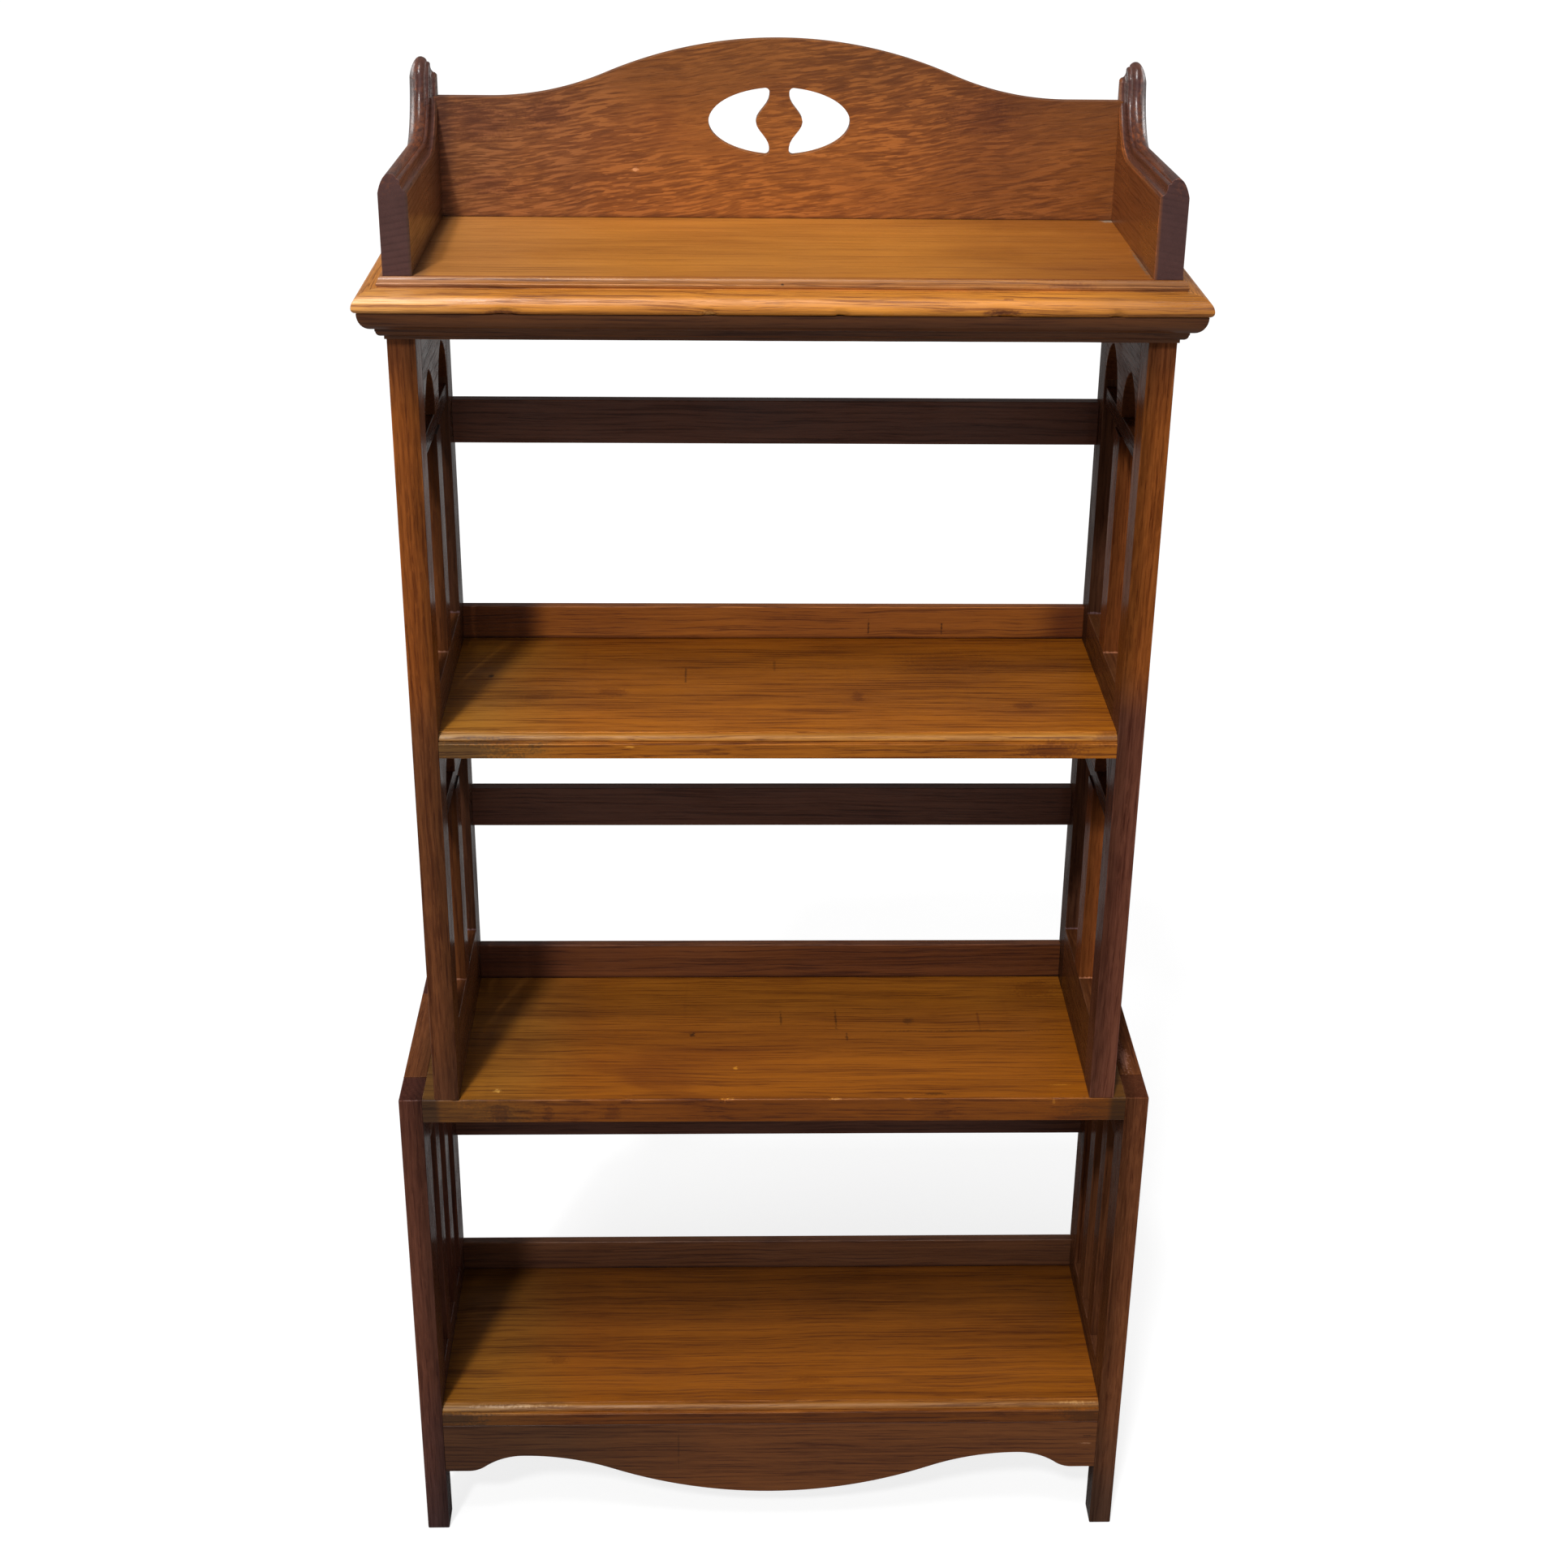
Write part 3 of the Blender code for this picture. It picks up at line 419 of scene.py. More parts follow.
def linear(tone):
    """A colour in 0 to 255 as a screen shows it, turned to linear light."""
    shares = [c / 255 for c in tone]
    return [s / 12.92 if s <= 0.04045 else ((s + 0.055) / 1.055) ** 2.4 for s in shares]


def tinted(tone, red, green, blue):
    """A screen tone with each channel scaled, in linear light, ready for a colour socket."""
    scaled = [c * s for c, s in zip(linear(tone), (red, green, blue))]
    return (*[min(c, 1.0) for c in scaled], 1.0)


class Graph:
    """Short calls for building a node tree."""

    def __init__(self, tree):
        self.tree = tree

    def node(self, kind, inputs=None, **settings):
        made = self.tree.nodes.new(kind)
        for key, value in settings.items():
            setattr(made, key, value)
        for key, value in (inputs or {}).items():
            self.feed(made.inputs[key], value)
        return made

    def feed(self, socket, value):
        if isinstance(value, bpy.types.NodeSocket):
            self.tree.links.new(value, socket)
        else:
            socket.default_value = value

    def math(self, operation, a, b=0.0, clamp=False):
        return self.node("ShaderNodeMath", {0: a, 1: b}, operation=operation, use_clamp=clamp).outputs[0]

    def plus(self, a, b):
        return self.math("ADD", a, b)

    def minus(self, a, b):
        return self.math("SUBTRACT", a, b)

    def times(self, a, b):
        return self.math("MULTIPLY", a, b)

    def vector(self, operation, a, b=(0.0, 0.0, 0.0)):
        made = self.node("ShaderNodeVectorMath", {0: a, 1: b}, operation=operation)
        return made.outputs["Value" if operation == "LENGTH" else "Vector"]

    def parts(self, vector):
        return self.node("ShaderNodeSeparateXYZ", {0: vector}).outputs

    def joined(self, parts):
        return self.node("ShaderNodeCombineXYZ", parts).outputs[0]

    def place(self):
        return self.node("ShaderNodeTexCoord").outputs["Object"]

    def noise(self, vector, scales, detail=2.0, roughness=0.5, distortion=0.0):
        inputs = {"Vector": self.vector("MULTIPLY", vector, scales), "Scale": 1.0, "Detail": detail,
                  "Roughness": roughness, "Distortion": distortion}
        return self.node("ShaderNodeTexNoise", inputs).outputs["Fac"]

    def span(self, value, low, high, to_low=0.0, to_high=1.0):
        inputs = {"Value": value, "From Min": low, "From Max": high, "To Min": to_low, "To Max": to_high}
        return self.node("ShaderNodeMapRange", inputs, interpolation_type="SMOOTHSTEP").outputs[0]

    def blend(self, share, a, b, mode="MIX"):
        made = self.node("ShaderNodeMix", {0: share, 6: a, 7: b}, data_type="RGBA", blend_type=mode)
        return made.outputs[2]

    def stain(self, share, colour, tint):
        return self.blend(share, colour, (*tint, 1.0), "MULTIPLY")


looks = {}
grain_depth = 0.0004
coat_roughness = 0.22
usual_look = {
    "light": (1.22, 1.26, 1.22), "dark": (0.46, 0.38, 0.38), "pale": (1.50, 1.62, 1.70), "streak": 0.35,
    "streak_scale": 42.0, "ring": 0.28, "ring_width": 0.0048, "heart": (-0.02, -0.22), "line": 0.55,
    "line_pale": 0.38, "line_length": 8.0, "line_scale": 480.0, "wave": 0.010, "wave_axis": 2, "slant": 0.0,
    "pore": 0.40, "pore_length": 30.0, "pore_width": 1100.0, "blotch": 0.35, "blotch_scale": 9.0,
    "blotch_tint": (0.62, 0.52, 0.62), "fleck": 0.0, "smudge": 0.0, "rough": 0.40, "specular": 0.30,
    "coat": 0.04, "bump": 0.25, "wear": (1.75, 1.9, 2.2), "wear_share": 0.6, "end_tint": (0.62, 0.58, 0.64)}


def look(name, tone, **changes):
    """One kind of oak finish: its tone, and what sets its figure apart from the usual."""
    looks[name] = {**usual_look, "tone": tone, **changes}


look("top", (184, 116, 44), streak=0.30, ring=0.18, line=0.30, line_pale=0.22, pore=0.2, blotch=0.3,
     blotch_tint=(0.80, 0.70, 0.72), wave_axis=1)
look("shelf_upper", (152, 85, 14), ring=0.4, line=0.7, line_pale=0.5, smudge=0.4, wear=(1.6, 1.9, 3.2),
     wear_share=0.9, wave_axis=1, specular=0.22, coat=0.0)
look("shelf_middle", (136, 74, 10), ring=0.35, blotch=0.7, smudge=0.3, wear=(2.0, 2.4, 4.5), wear_share=0.9,
     wave_axis=1, specular=0.22, coat=0.0)
look("shelf_lower", (127, 69, 11), ring=0.35, wear=(1.8, 2.1, 3.2), wear_share=0.8, wave_axis=1,
     specular=0.22, coat=0.0)
look("lip_upper", (154, 88, 32), line=0.7)
look("lip", (107, 60, 31), streak=0.55, line=0.7)
look("lip_lower", (85, 51, 31), streak=0.5)
look("rail", (88, 51, 33), streak=0.4, light=(1.25, 1.25, 1.25), blotch=0.5)
for hand, gloss in (("left", 0.085), ("right", 0.015)):
    look("side_" + hand, (103, 59, 33), streak=0.38, line=0.45, line_length=14.0, fleck=0.25, wave=0.004,
         rough=0.22, specular=gloss, coat=0.0)
look("apron", (97, 54, 24), streak=0.5, specular=0.2)
look("cornice", (194, 121, 42), streak=0.5, line=0.7, rough=0.34, coat=0.08, specular=0.35)
look("bed", (98, 55, 25), streak=0.5)
look("gallery", (152, 89, 38), streak=0.2, ring=0.0, line=0.40, line_pale=0.35, line_length=34.0,
     line_scale=560.0, wave=0.016, slant=0.14, pore=0.35, fleck=0.85, blotch=0.5,
     blotch_tint=(0.66, 0.54, 0.74), heart=(-0.02, -0.6))
# The gallery ends' strong wear tint is rubbing, and also a painted highlight along the moulded ridges.
look("gallery_end", (86, 54, 45), streak=0.3, line=0.35, blotch=0.4, wear=(2.8, 2.4, 2.1), wear_share=0.8,
     rough=0.32, coat=0.35, end_tint=(0.92, 0.92, 1.12))


def figure_group(name):
    """The figure of one oak finish, from a place in the wood with the grain along X, in metres."""
    values = looks[name]
    tree = bpy.data.node_groups.new("oak_" + name, "ShaderNodeTree")
    for socket, way, kind in (("Vector", "INPUT", "Vector"), ("End", "INPUT", "Float"),
                              ("Color", "OUTPUT", "Color"), ("Roughness", "OUTPUT", "Float"),
                              ("Height", "OUTPUT", "Float")):
        tree.interface.new_socket(socket, in_out=way, socket_type="NodeSocket" + kind)
    g = Graph(tree)
    place, end = g.node("NodeGroupInput").outputs[:2]
    calm = g.span(end, 0.0, 1.0, 1.0, 0.25)
    tone = values["tone"]

    slow = g.noise(place, (1.1, 4.0, 4.0), 2.0)
    quick = g.noise(place, (5.0, 40.0, 40.0), 3.0, 0.6)
    x, y, z = g.parts(place)
    heart_y, heart_z = values["heart"]
    radius = g.vector("LENGTH", g.joined({1: g.minus(y, heart_y), 2: g.minus(z, heart_z)}))
    radius = g.plus(g.plus(radius, g.times(slow, 0.014)), g.times(quick, 0.0012))
    saw = g.math("FRACT", g.math("DIVIDE", radius, values["ring_width"]))
    ring = g.times(g.span(saw, 0.0, 0.18), g.span(saw, 0.62, 0.18))
    ring = g.times(ring, g.span(g.noise(place, (2.2, 30.0, 30.0), 2.0), 0.35, 0.62, 0.25, 1.0))

    wave = g.minus(g.noise(place, (8.0, 11.0, 11.0), 2.0), 0.5)
    lift = g.minus(g.times(wave, values["wave"]), g.times(x, values["slant"]))
    bent = g.vector("ADD", place, g.joined({values["wave_axis"]: lift}))
    pore_width, line_scale, streak_scale = values["pore_width"], values["line_scale"], values["streak_scale"]
    fine = g.noise(bent, (values["pore_length"], pore_width, pore_width), 3.0, 0.65)
    pore = g.times(g.span(fine, 0.53, 0.68), calm)
    grain = g.noise(bent, (values["line_length"], line_scale, line_scale), 4.0, 0.7)
    line = g.times(g.span(grain, 0.52, 0.62), calm)
    pale_line = g.times(g.span(grain, 0.48, 0.38), calm)
    streak = g.span(g.noise(bent, (2.0, streak_scale, streak_scale), 4.0, 0.6), 0.32, 0.70)

    depth = g.plus(g.times(streak, values["streak"]), g.times(ring, values["ring"]))
    depth = g.plus(depth, g.times(pore, values["pore"]))
    depth = g.math("ADD", depth, g.times(line, values["line"]), clamp=True)
    colour = g.blend(depth, tinted(tone, *values["light"]), tinted(tone, *values["dark"]))
    colour = g.blend(g.times(pale_line, values["line_pale"]), colour, tinted(tone, *values["pale"]))

    scale = values["blotch_scale"]
    cloud = g.span(g.noise(place, (scale * 0.5, scale, scale), 3.0, 0.55, 0.6), 0.46, 0.70)
    colour = g.stain(g.times(cloud, values["blotch"]), colour, values["blotch_tint"])
    if values["smudge"]:
        rubbed = g.span(g.noise(place, (70.0, 6.0, 6.0), 2.0), 0.62, 0.80)
        colour = g.stain(g.times(rubbed, values["smudge"]), colour, (0.72, 0.66, 0.66))
    if values["fleck"]:
        flake = g.noise(bent, (52.0, 460.0, 460.0), 2.0, 0.55)
        patch = g.span(g.noise(bent, (9.0, 18.0, 18.0), 2.0), 0.36, 0.52, 0.35, 1.0)
        pale_flake = g.times(g.span(flake, 0.53, 0.58), patch)
        colour = g.blend(g.times(pale_flake, values["fleck"]), colour, tinted(tone, 1.70, 1.80, 1.8))
        shadow = g.times(g.span(flake, 0.47, 0.37), patch)
        colour = g.blend(g.times(shadow, values["fleck"] * 0.7), colour, tinted(tone, 0.60, 0.54, 0.66))
    colour = g.stain(end, colour, values["end_tint"])

    haze = g.noise(place, (14.0, 24.0, 24.0), 4.0, 0.6)
    rough = g.plus(g.span(haze, 0.3, 0.7, values["rough"] - 0.08, values["rough"] + 0.10),
                   g.times(g.math("MAXIMUM", pore, line), 0.16))
    height = g.minus(g.minus(1.0, g.times(pore, 0.45)), g.times(line, 0.7))
    height = g.plus(g.minus(height, g.times(ring, 0.35)), g.times(haze, 0.6))
    g.node("NodeGroupOutput", {0: colour, 1: rough, 2: height})
    return tree


groups = {name: figure_group(name) for name in looks}


def grain_place(g, grain, seed):
    """Where a point lies in the wood: the grain along X, with each piece's own offset and slant."""
    draw = random.Random(seed)
    place = g.place()
    parts = g.parts(place)
    order = {along: (0, 1, 2), deep: (1, 0, 2), up: (2, 1, 0)}[grain]
    turned = g.joined({i: parts[order[i]] for i in range(3)})
    shift = (draw.uniform(-9, 9), draw.uniform(-0.03, 0.03), draw.uniform(-0.02, 0.02))
    slant = (0.0, math.radians(draw.uniform(-0.8, 0.8)), math.radians(draw.uniform(-0.8, 0.8)))
    moved = g.node("ShaderNodeMapping", {"Vector": turned, "Location": shift, "Rotation": slant})
    return place, moved.outputs[0]


def along_grain(g, grain):
    """How far a face looks along the grain: 0 on a long side, 1 on end grain."""
    normal = g.parts(g.node("ShaderNodeNewGeometry").outputs["Normal"])
    return g.span(g.math("ABSOLUTE", normal[grain]), 0.75, 0.95)


def add_mark(g, colour, place, wood, mark):
    """A ragged spot, stain, scratch, painted glint or painted highlight: centre, reach along each axis, tint
    of the wood, and strength.
    """
    centre, reach, tint, strength = mark
    away = g.vector("DIVIDE", g.vector("SUBTRACT", place, centre), reach)
    ragged = g.plus(g.noise(place, (420.0, 420.0, 420.0), 3.0), g.noise(wood, (45.0, 330.0, 330.0), 3.0))
    distance = g.plus(g.vector("LENGTH", away), g.minus(g.times(ragged, 1.6), 1.6))
    return g.stain(g.times(g.span(distance, 1.0, 0.35), strength), colour, tint)


def add_fade(g, colour, place, fade):
    """A slow change of tone along one axis, broken up by noise: axis, start, end, tint."""
    axis, start, end, tint = fade
    value = g.parts(place)[axis]
    wave = g.times(g.minus(g.noise(place, (12.0, 12.0, 12.0), 3.0), 0.5), abs(end - start) * 0.8)
    return g.stain(g.span(g.plus(value, wave), start, end), colour, tint)


def new_material(name):
    """A material that uses nodes, with its graph and its shader."""
    material = bpy.data.materials.new(name)
    material.use_nodes = True
    return material, Graph(material.node_tree), material.node_tree.nodes["Principled BSDF"]


def oak(name, look_name, grain, seed, worn, marks=(), fades=()):
    """Stained and varnished oak. The worn kind is for rounded edges, rubbed paler along their length."""
    values = looks[look_name]
    material, g, shader = new_material(name)
    place, wood = grain_place(g, grain, seed)
    figure = g.node("ShaderNodeGroup", node_tree=groups[look_name])
    g.feed(figure.inputs[0], wood)
    g.feed(figure.inputs[1], along_grain(g, grain))
    colour = figure.outputs[0]
    if worn:
        rubbed = g.span(g.noise(wood, (16.0, 90.0, 90.0), 4.0, 0.65), 0.38, 0.66)
        paler = g.vector("MULTIPLY", colour, values["wear"])
        colour = g.blend(g.times(rubbed, values["wear_share"]), colour, paler)
    for fade in fades:
        colour = add_fade(g, colour, place, fade)
    for mark in marks:
        colour = add_mark(g, colour, place, wood, mark)
    bump = g.node("ShaderNodeBump", {"Strength": values["bump"], "Distance": grain_depth,
                                     "Height": figure.outputs[2]})
    g.feed(shader.inputs["Base Color"], colour)
    g.feed(shader.inputs["Roughness"], figure.outputs[1])
    g.feed(shader.inputs["Normal"], bump.outputs[0])
    shader.inputs["Specular IOR Level"].default_value = values["specular"]
    shader.inputs["Coat Weight"].default_value = values["coat"]
    shader.inputs["Coat Roughness"].default_value = coat_roughness
    return material


def plain_wood(name, tone):
    """Bare turned wood for the hidden dowels."""
    material, g, shader = new_material(name)
    fibre = g.span(g.noise(g.place(), (900.0, 900.0, 40.0), 3.0), 0.3, 0.7)
    g.feed(shader.inputs["Base Color"], g.blend(fibre, tinted(tone, 1.0, 1.0, 1.0),
                                                tinted(tone, 0.7, 0.62, 0.5)))
    g.feed(shader.inputs["Roughness"], g.span(fibre, 0.0, 1.0, 0.55, 0.7))
    return material


def screw_steel(name):
    """Plain steel with turning marks and a little dull oxide."""
    material, g, shader = new_material(name)
    place = g.place()
    turning = g.noise(place, (60.0, 60.0, 2500.0), 3.0)
    dull = g.span(g.noise(place, (400.0, 400.0, 400.0), 3.0), 0.45, 0.65)
    g.feed(shader.inputs["Base Color"], g.blend(dull, (0.46, 0.45, 0.43, 1.0), (0.24, 0.19, 0.15, 1.0)))
    g.feed(shader.inputs["Roughness"], g.span(turning, 0.3, 0.7, 0.28, 0.5))
    shader.inputs["Metallic"].default_value = 1.0
    return material


for corner in ("left_front", "left_rear", "right_front", "right_rear"):
    for fixing, material in (("dowel", plain_wood(corner + "_beech", (192, 158, 116))),
                             ("gallery_screw", screw_steel(corner + "_steel"))):
        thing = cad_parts[corner + "_" + fixing]
        thing.data.materials.clear()
        thing.data.materials.append(material)


# Tints for stains, marks, painted highlights and a painted glint, and the marks' common forms

soot = (0.10, 0.09, 0.10)
umber = (0.46, 0.34, 0.28)
purple = (0.46, 0.36, 0.62)
dusk = (0.42, 0.52, 1.10)
# Pale bare wood at chips and scratches, and also a painted highlight along the lower shelf's bead
bare_wood_and_highlight = (2.4, 3.4, 6.5)
# A pale worn patch on a ledge, and also a painted glint of light along the joints at the sills
dust_and_glint = (3.2, 4.6, 9.0)
# A painted highlight over the gallery ends' moulded ridge
painted_ridge_highlight = (2.3, 1.9, 1.1)
mark_depth = 0.004


def top_marks(height, rows, depth=mark_depth):
    """Marks on a level face, each row giving x, y, the reach along both, tint and strength."""
    return [((x, y, height), (reach_x, reach_y, depth), tint, strength)
            for x, y, reach_x, reach_y, tint, strength in rows]


def front_marks(face, rows, depth=mark_depth):
    """Marks on a face that looks forward, each row giving x, z, the reach along both, tint and strength."""
    return [((x, face, z), (reach_x, depth, reach_z), tint, strength)
            for x, z, reach_x, reach_z, tint, strength in rows]


# Lower and upper sides

foot_fade = (up, 0.20, 0.0, (0.50, 0.70, 1.10))
lower_tones = {"left": (0.72, 0.74, 1.25), "right": (0.96, 0.98, 1.12)}
top_fade = (up, 1.10, 1.18, (0.66, 0.74, 1.30))
stile_fades = {
    "left": [(up, 0.80, 0.90, (1.85, 1.55, 0.86)), top_fade, (up, 0.58, 0.49, (0.78, 0.84, 1.05))],
    "right": [(up, 0.850, 0.905, (1.70, 1.45, 0.86)), top_fade, (up, 0.905, 0.850, (0.90, 0.92, 1.55))]}
# Painted shade: the upper rear stiles darker all over, below the top board.
rear_painted_shade = (up, board_under, board_under - 0.001, (0.62, 0.72, 1.05))
# Painted light: the slats lighter, the right-hand ones most.
slat_light_tints = {"left": (1.15, 1.10, 1.0), "right": (1.60, 1.35, 1.0)}
shaded_tone = (0.40, 0.37, 0.42)
slat_shade = 0.034
side_looks = {-1: "side_left", 1: "side_right"}


def inner_fade(board):
    """Darker towards the inner face."""
    side, inner, outer = board
    return (along, side * (outer - 0.006), side * (inner + 0.001), (0.60, 0.62, 0.62))


def even_tone(tint):
    """One tint all over a piece: boards of one stain still differ, and some tints are painted light or shade
    over a whole piece.
    """
    return (up, -0.002, -0.001, tint)


def joint_glint(board, face, sill):
    """A thin pale line where an upright meets the sill in front of it: a painted glint of light along the
    joint.
    """
    side, inner, outer = board
    return ((side * (inner + outer) / 2, face, sill + 0.0006), (0.030, 0.004, 0.0014), dust_and_glint, 0.8)


def make_bar(node, board, y_range, z_range, grain, fades=(), marks=()):
    """One rail, stile or slat of a side, butted at both ends of its grain. The board is the side's sign,
    inner face and outer face."""
    side, inner, outer = board
    low, high = zip(sorted((side * inner, side * outer)), y_range, z_range)
    dress(node, block(low, high, grain), grain, side_looks[side], bar_rounding,
          butts(grain, low[grain], high[grain]), marks, [inner_fade(board), *fades])


def make_shaped(node, board, outline, grain, rounding, ends=(), fades=()):
    """One rail or stile of a side that is cut to an outline."""
    side, inner, outer = board
    mesh = plate([outline], outer - inner, facing_side(side * (inner + outer) / 2))
    dress(node, mesh, grain, side_looks[side], rounding, ends, fades=[*fades, inner_fade(board)], wobble=0.0)


def arched_outline(y_range, slat_y, cross_top, top):
    """Side view of an arched rail: two pointed arches that meet in a short leg over the slat."""
    spring = cross_top + arch_height - arch_rise
    near = y_range[0] + arch_land
    half = (slat_y - near) / 2
    radius = (arch_rise ** 2 + half ** 2) / (2 * half)
    rising = arc((near + radius, spring), -radius, radius, 0, math.asin(arch_rise / radius), arc_steps)
    falling = [(near + slat_y - y, z) for y, z in reversed(rising[:-1])]
    front = [(y_range[0], top), (y_range[0], spring)] + rising + falling + [(slat_y, cross_top + hairline)]
    return front + turned_back(reversed(front))


def make_upper_side(side, hand):
    """The upper stage's side: stiles, bottom rail, and a slat, cross rail and arched rail for each bay."""
    board = (side, upper_inner, upper_half)
    stage = (middle_shelf_top + gap, board_under - hairline)
    rail_y = (upper_edges[0] + hairline, upper_edges[1] - hairline)
    bottom_low, bottom_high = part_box(hand + "_upper_bottom_rail")
    sills = {"middle": bottom_high.z, "upper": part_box(hand + "_middle_bay_arched_rail")[1].z}
    make_bar(hand + "_upper_front_stile", board, (front_y, upper_edges[0]), stage, up, stile_fades[hand])
    make_bar(hand + "_upper_rear_stile", board, (upper_edges[1], rear_y), stage, up, [rear_painted_shade],
             [joint_glint(board, upper_edges[1], sill) for sill in sills.values()])
    make_bar(hand + "_upper_bottom_rail", board, rail_y, (bottom_low.z, bottom_high.z), deep)
    for bay, sill in sills.items():
        start = hand + "_" + bay + "_bay_"
        cross_low, cross_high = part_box(start + "cross_rail")
        slat_low, slat_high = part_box(start + "slat")
        reveal = upper_half - max(abs(cross_low.x), abs(cross_high.x))
        make_bar(start + "cross_rail", (side, upper_inner + reveal, upper_half - reveal), rail_y,
                 (cross_low.z, cross_high.z), deep, [even_tone(shaded_tone)])
        make_bar(start + "slat", board, (slat_low.y, slat_high.y), (sill + hairline, cross_low.z - hairline),
                 up, [even_tone(slat_light_tints[hand]), (up, cross_low.z - slat_shade, cross_low.z, shaded_tone)],
                 [joint_glint(board, slat_low.y, sill)])
        outline = arched_outline(rail_y, slat_low.y, cross_high.z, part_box(start + "arched_rail")[1].z)
        make_shaped(start + "arched_rail", board, outline, deep, arch_rounding, butts(deep, *rail_y))


def foot_outline():
    """Side view of the front lower stile: straight up, drawn in to a slimmer foot below the rail."""
    sweep_top = foot_straight_height + foot_sweep_height
    foot_y = front_y + foot_depth
    inner = ogee((sweep_top, lower_edges[0]), (foot_straight_height, foot_y), 0.5, arc_steps)
    return [(front_y, 0), (front_y, middle_shelf_top), (lower_edges[0], middle_shelf_top)] \
        + [(y, z) for z, y in inner] + [(foot_y, 0)]


def low_rail_outline(y_range, bottom, top):
    """Side view of a lower bottom rail, with one flat arch cut in its underside."""
    half = (y_range[1] - y_range[0]) / 2 - side_arch_land
    radius = (half ** 2 + side_arch_rise ** 2) / (2 * side_arch_rise)
    spread = math.asin(half / radius)
    centre = (middle_y, bottom + side_arch_rise - radius)
    curve = arc(centre, radius, radius, math.pi / 2 + spread, math.pi / 2 - spread, 2 * arc_steps)
    return [(y_range[1], bottom), (y_range[1], top), (y_range[0], top), (y_range[0], bottom)] + curve


def make_lower_side(side, hand):
    """The lower stage's side: two stiles with feet, two rails and two slats."""
    start = hand + "_lower_"
    board = (side, lower_inner, lower_half)
    fades = [even_tone(lower_tones[hand]), foot_fade]
    foot = foot_outline()
    make_shaped(start + "front_stile", board, foot, up, stile_rounding, fades=fades)
    make_shaped(start + "rear_stile", board, turned_back(foot), up, stile_rounding, fades=fades)
    rail_y = (lower_edges[0] + hairline, lower_edges[1] - hairline)
    top_low, top_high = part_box(start + "top_rail")
    bottom_low, bottom_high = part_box(start + "bottom_rail")
    ledge_wear = top_marks(middle_shelf_top, [(0.3166, -0.0332, 0.006, 0.030, dust_and_glint, 0.55)])
    make_bar(start + "top_rail", board, rail_y, (top_low.z, top_high.z), deep,
             marks=ledge_wear if side > 0 else ())
    outline = low_rail_outline(rail_y, bottom_low.z, bottom_high.z)
    make_shaped(start + "bottom_rail", board, outline, deep, bar_rounding, butts(deep, *rail_y), fades)
    for number in ("1", "2"):
        low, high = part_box(start + "slat_" + number)
        make_bar(start + "slat_" + number, board, (low.y, high.y),
                 (bottom_high.z + hairline, top_low.z - hairline), up, fades)


for side, hand in ((-1, "left"), (1, "right")):
    make_lower_side(side, hand)
    make_upper_side(side, hand)


# Shelves, lips and back rails

def nose_section(top, under):
    """Side view of a moulded shelf, with a few points along its top so that it can wander."""
    face = front_y + nose_depth
    round_top = top - nose_fillet
    centre = (face - nose_fillet, round_top - nose_round_height)
    bead = arc(centre, -nose_round_depth, nose_round_height, math.pi / 2, 0, round_steps)
    quirk_y, quirk_z = bead[-1]
    fillet_y = front_y + nose_quirk
    break_z = top - nose_height
    count = round((rear_y - face) / long_pitch)
    surface = [(rear_y + (face - rear_y) * i / count, top) for i in range(count + 1)]
    return surface + [(face, round_top)] + bead + [
        (quirk_y + nose_quirk, quirk_z), (quirk_y + nose_quirk, quirk_z - nose_quirk),
        (fillet_y, quirk_z - nose_quirk), (fillet_y, break_z), (front_y, break_z),
        (front_y, under), (rear_y, under)]


def make_moulded_shelf(node, inner, look_name, marks, fades):
    """A shelf between two inner faces, its moulded front edge painted pale above as a highlight, and dark in
    the quirk.
    """
    low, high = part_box(node)
    reach = inner - hairline

    def place(point, share):
        return ((2 * share - 1) * reach, *point)

    board = sweep(nose_section(high.z, low.z), round(2 * reach / station_pitch), place)
    # Painted highlight: a pale band along the top of the bead, toned back down from the quirk.
    painted_bead_highlight = [(up, high.z - 0.0006, high.z - 0.0016, (1.20, 1.65, 5.40)),
                   (up, high.z - 0.0042, high.z - 0.0058, (0.80, 0.58, 0.22))]
    dress(node, board, along, look_name, nose_rounding, butts(along, -reach, reach), marks,
          [*fades, *painted_bead_highlight], shelf_wander)


def make_board(node, inner, look_name, rounding, extra=(), **finish):
    """A plain board between two inner faces, with extra cuts where it is chipped."""
    low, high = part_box(node)
    reach = inner - hairline
    dress(node, block((-reach, low.y, low.z), (reach, high.y, high.z), along, extra), along, look_name,
          rounding, butts(along, -reach, reach), **finish)


bead_y = front_y + 0.004
make_moulded_shelf(
    "lower_shelf", lower_inner, "shelf_lower",
    # The two marks along the bead are a painted highlight.
    [*top_marks(lower_shelf_top, [(0.2876, bead_y, 0.030, 0.003, bare_wood_and_highlight, 0.5),
                                  (-0.240, bead_y, 0.060, 0.004, bare_wood_and_highlight, 0.5)], 0.003),
     *top_marks(lower_shelf_top, [(0.0388, -0.0621, 0.024, 0.006, umber, 0.35),
                                  (-0.205, -0.030, 0.012, 0.009, umber, 0.4)]),
     *front_marks(front_y, [(-0.305, lower_shelf_top - 0.013, 0.050, 0.012, dusk, 0.9),
                            (0.300, lower_shelf_top - 0.013, 0.036, 0.012, dusk, 0.6)])],
    # Painted shade, darker towards the back, and painted sheen, paler and bluer at the left end.
    [(deep, -0.01, rear_y, (0.54, 0.56, 0.90)), (along, -0.17, -0.28, (0.94, 1.2, 2.2)),
     (up, lower_shelf_top - 0.0072, lower_shelf_top - 0.0084, (0.56, 0.52, 0.66))])
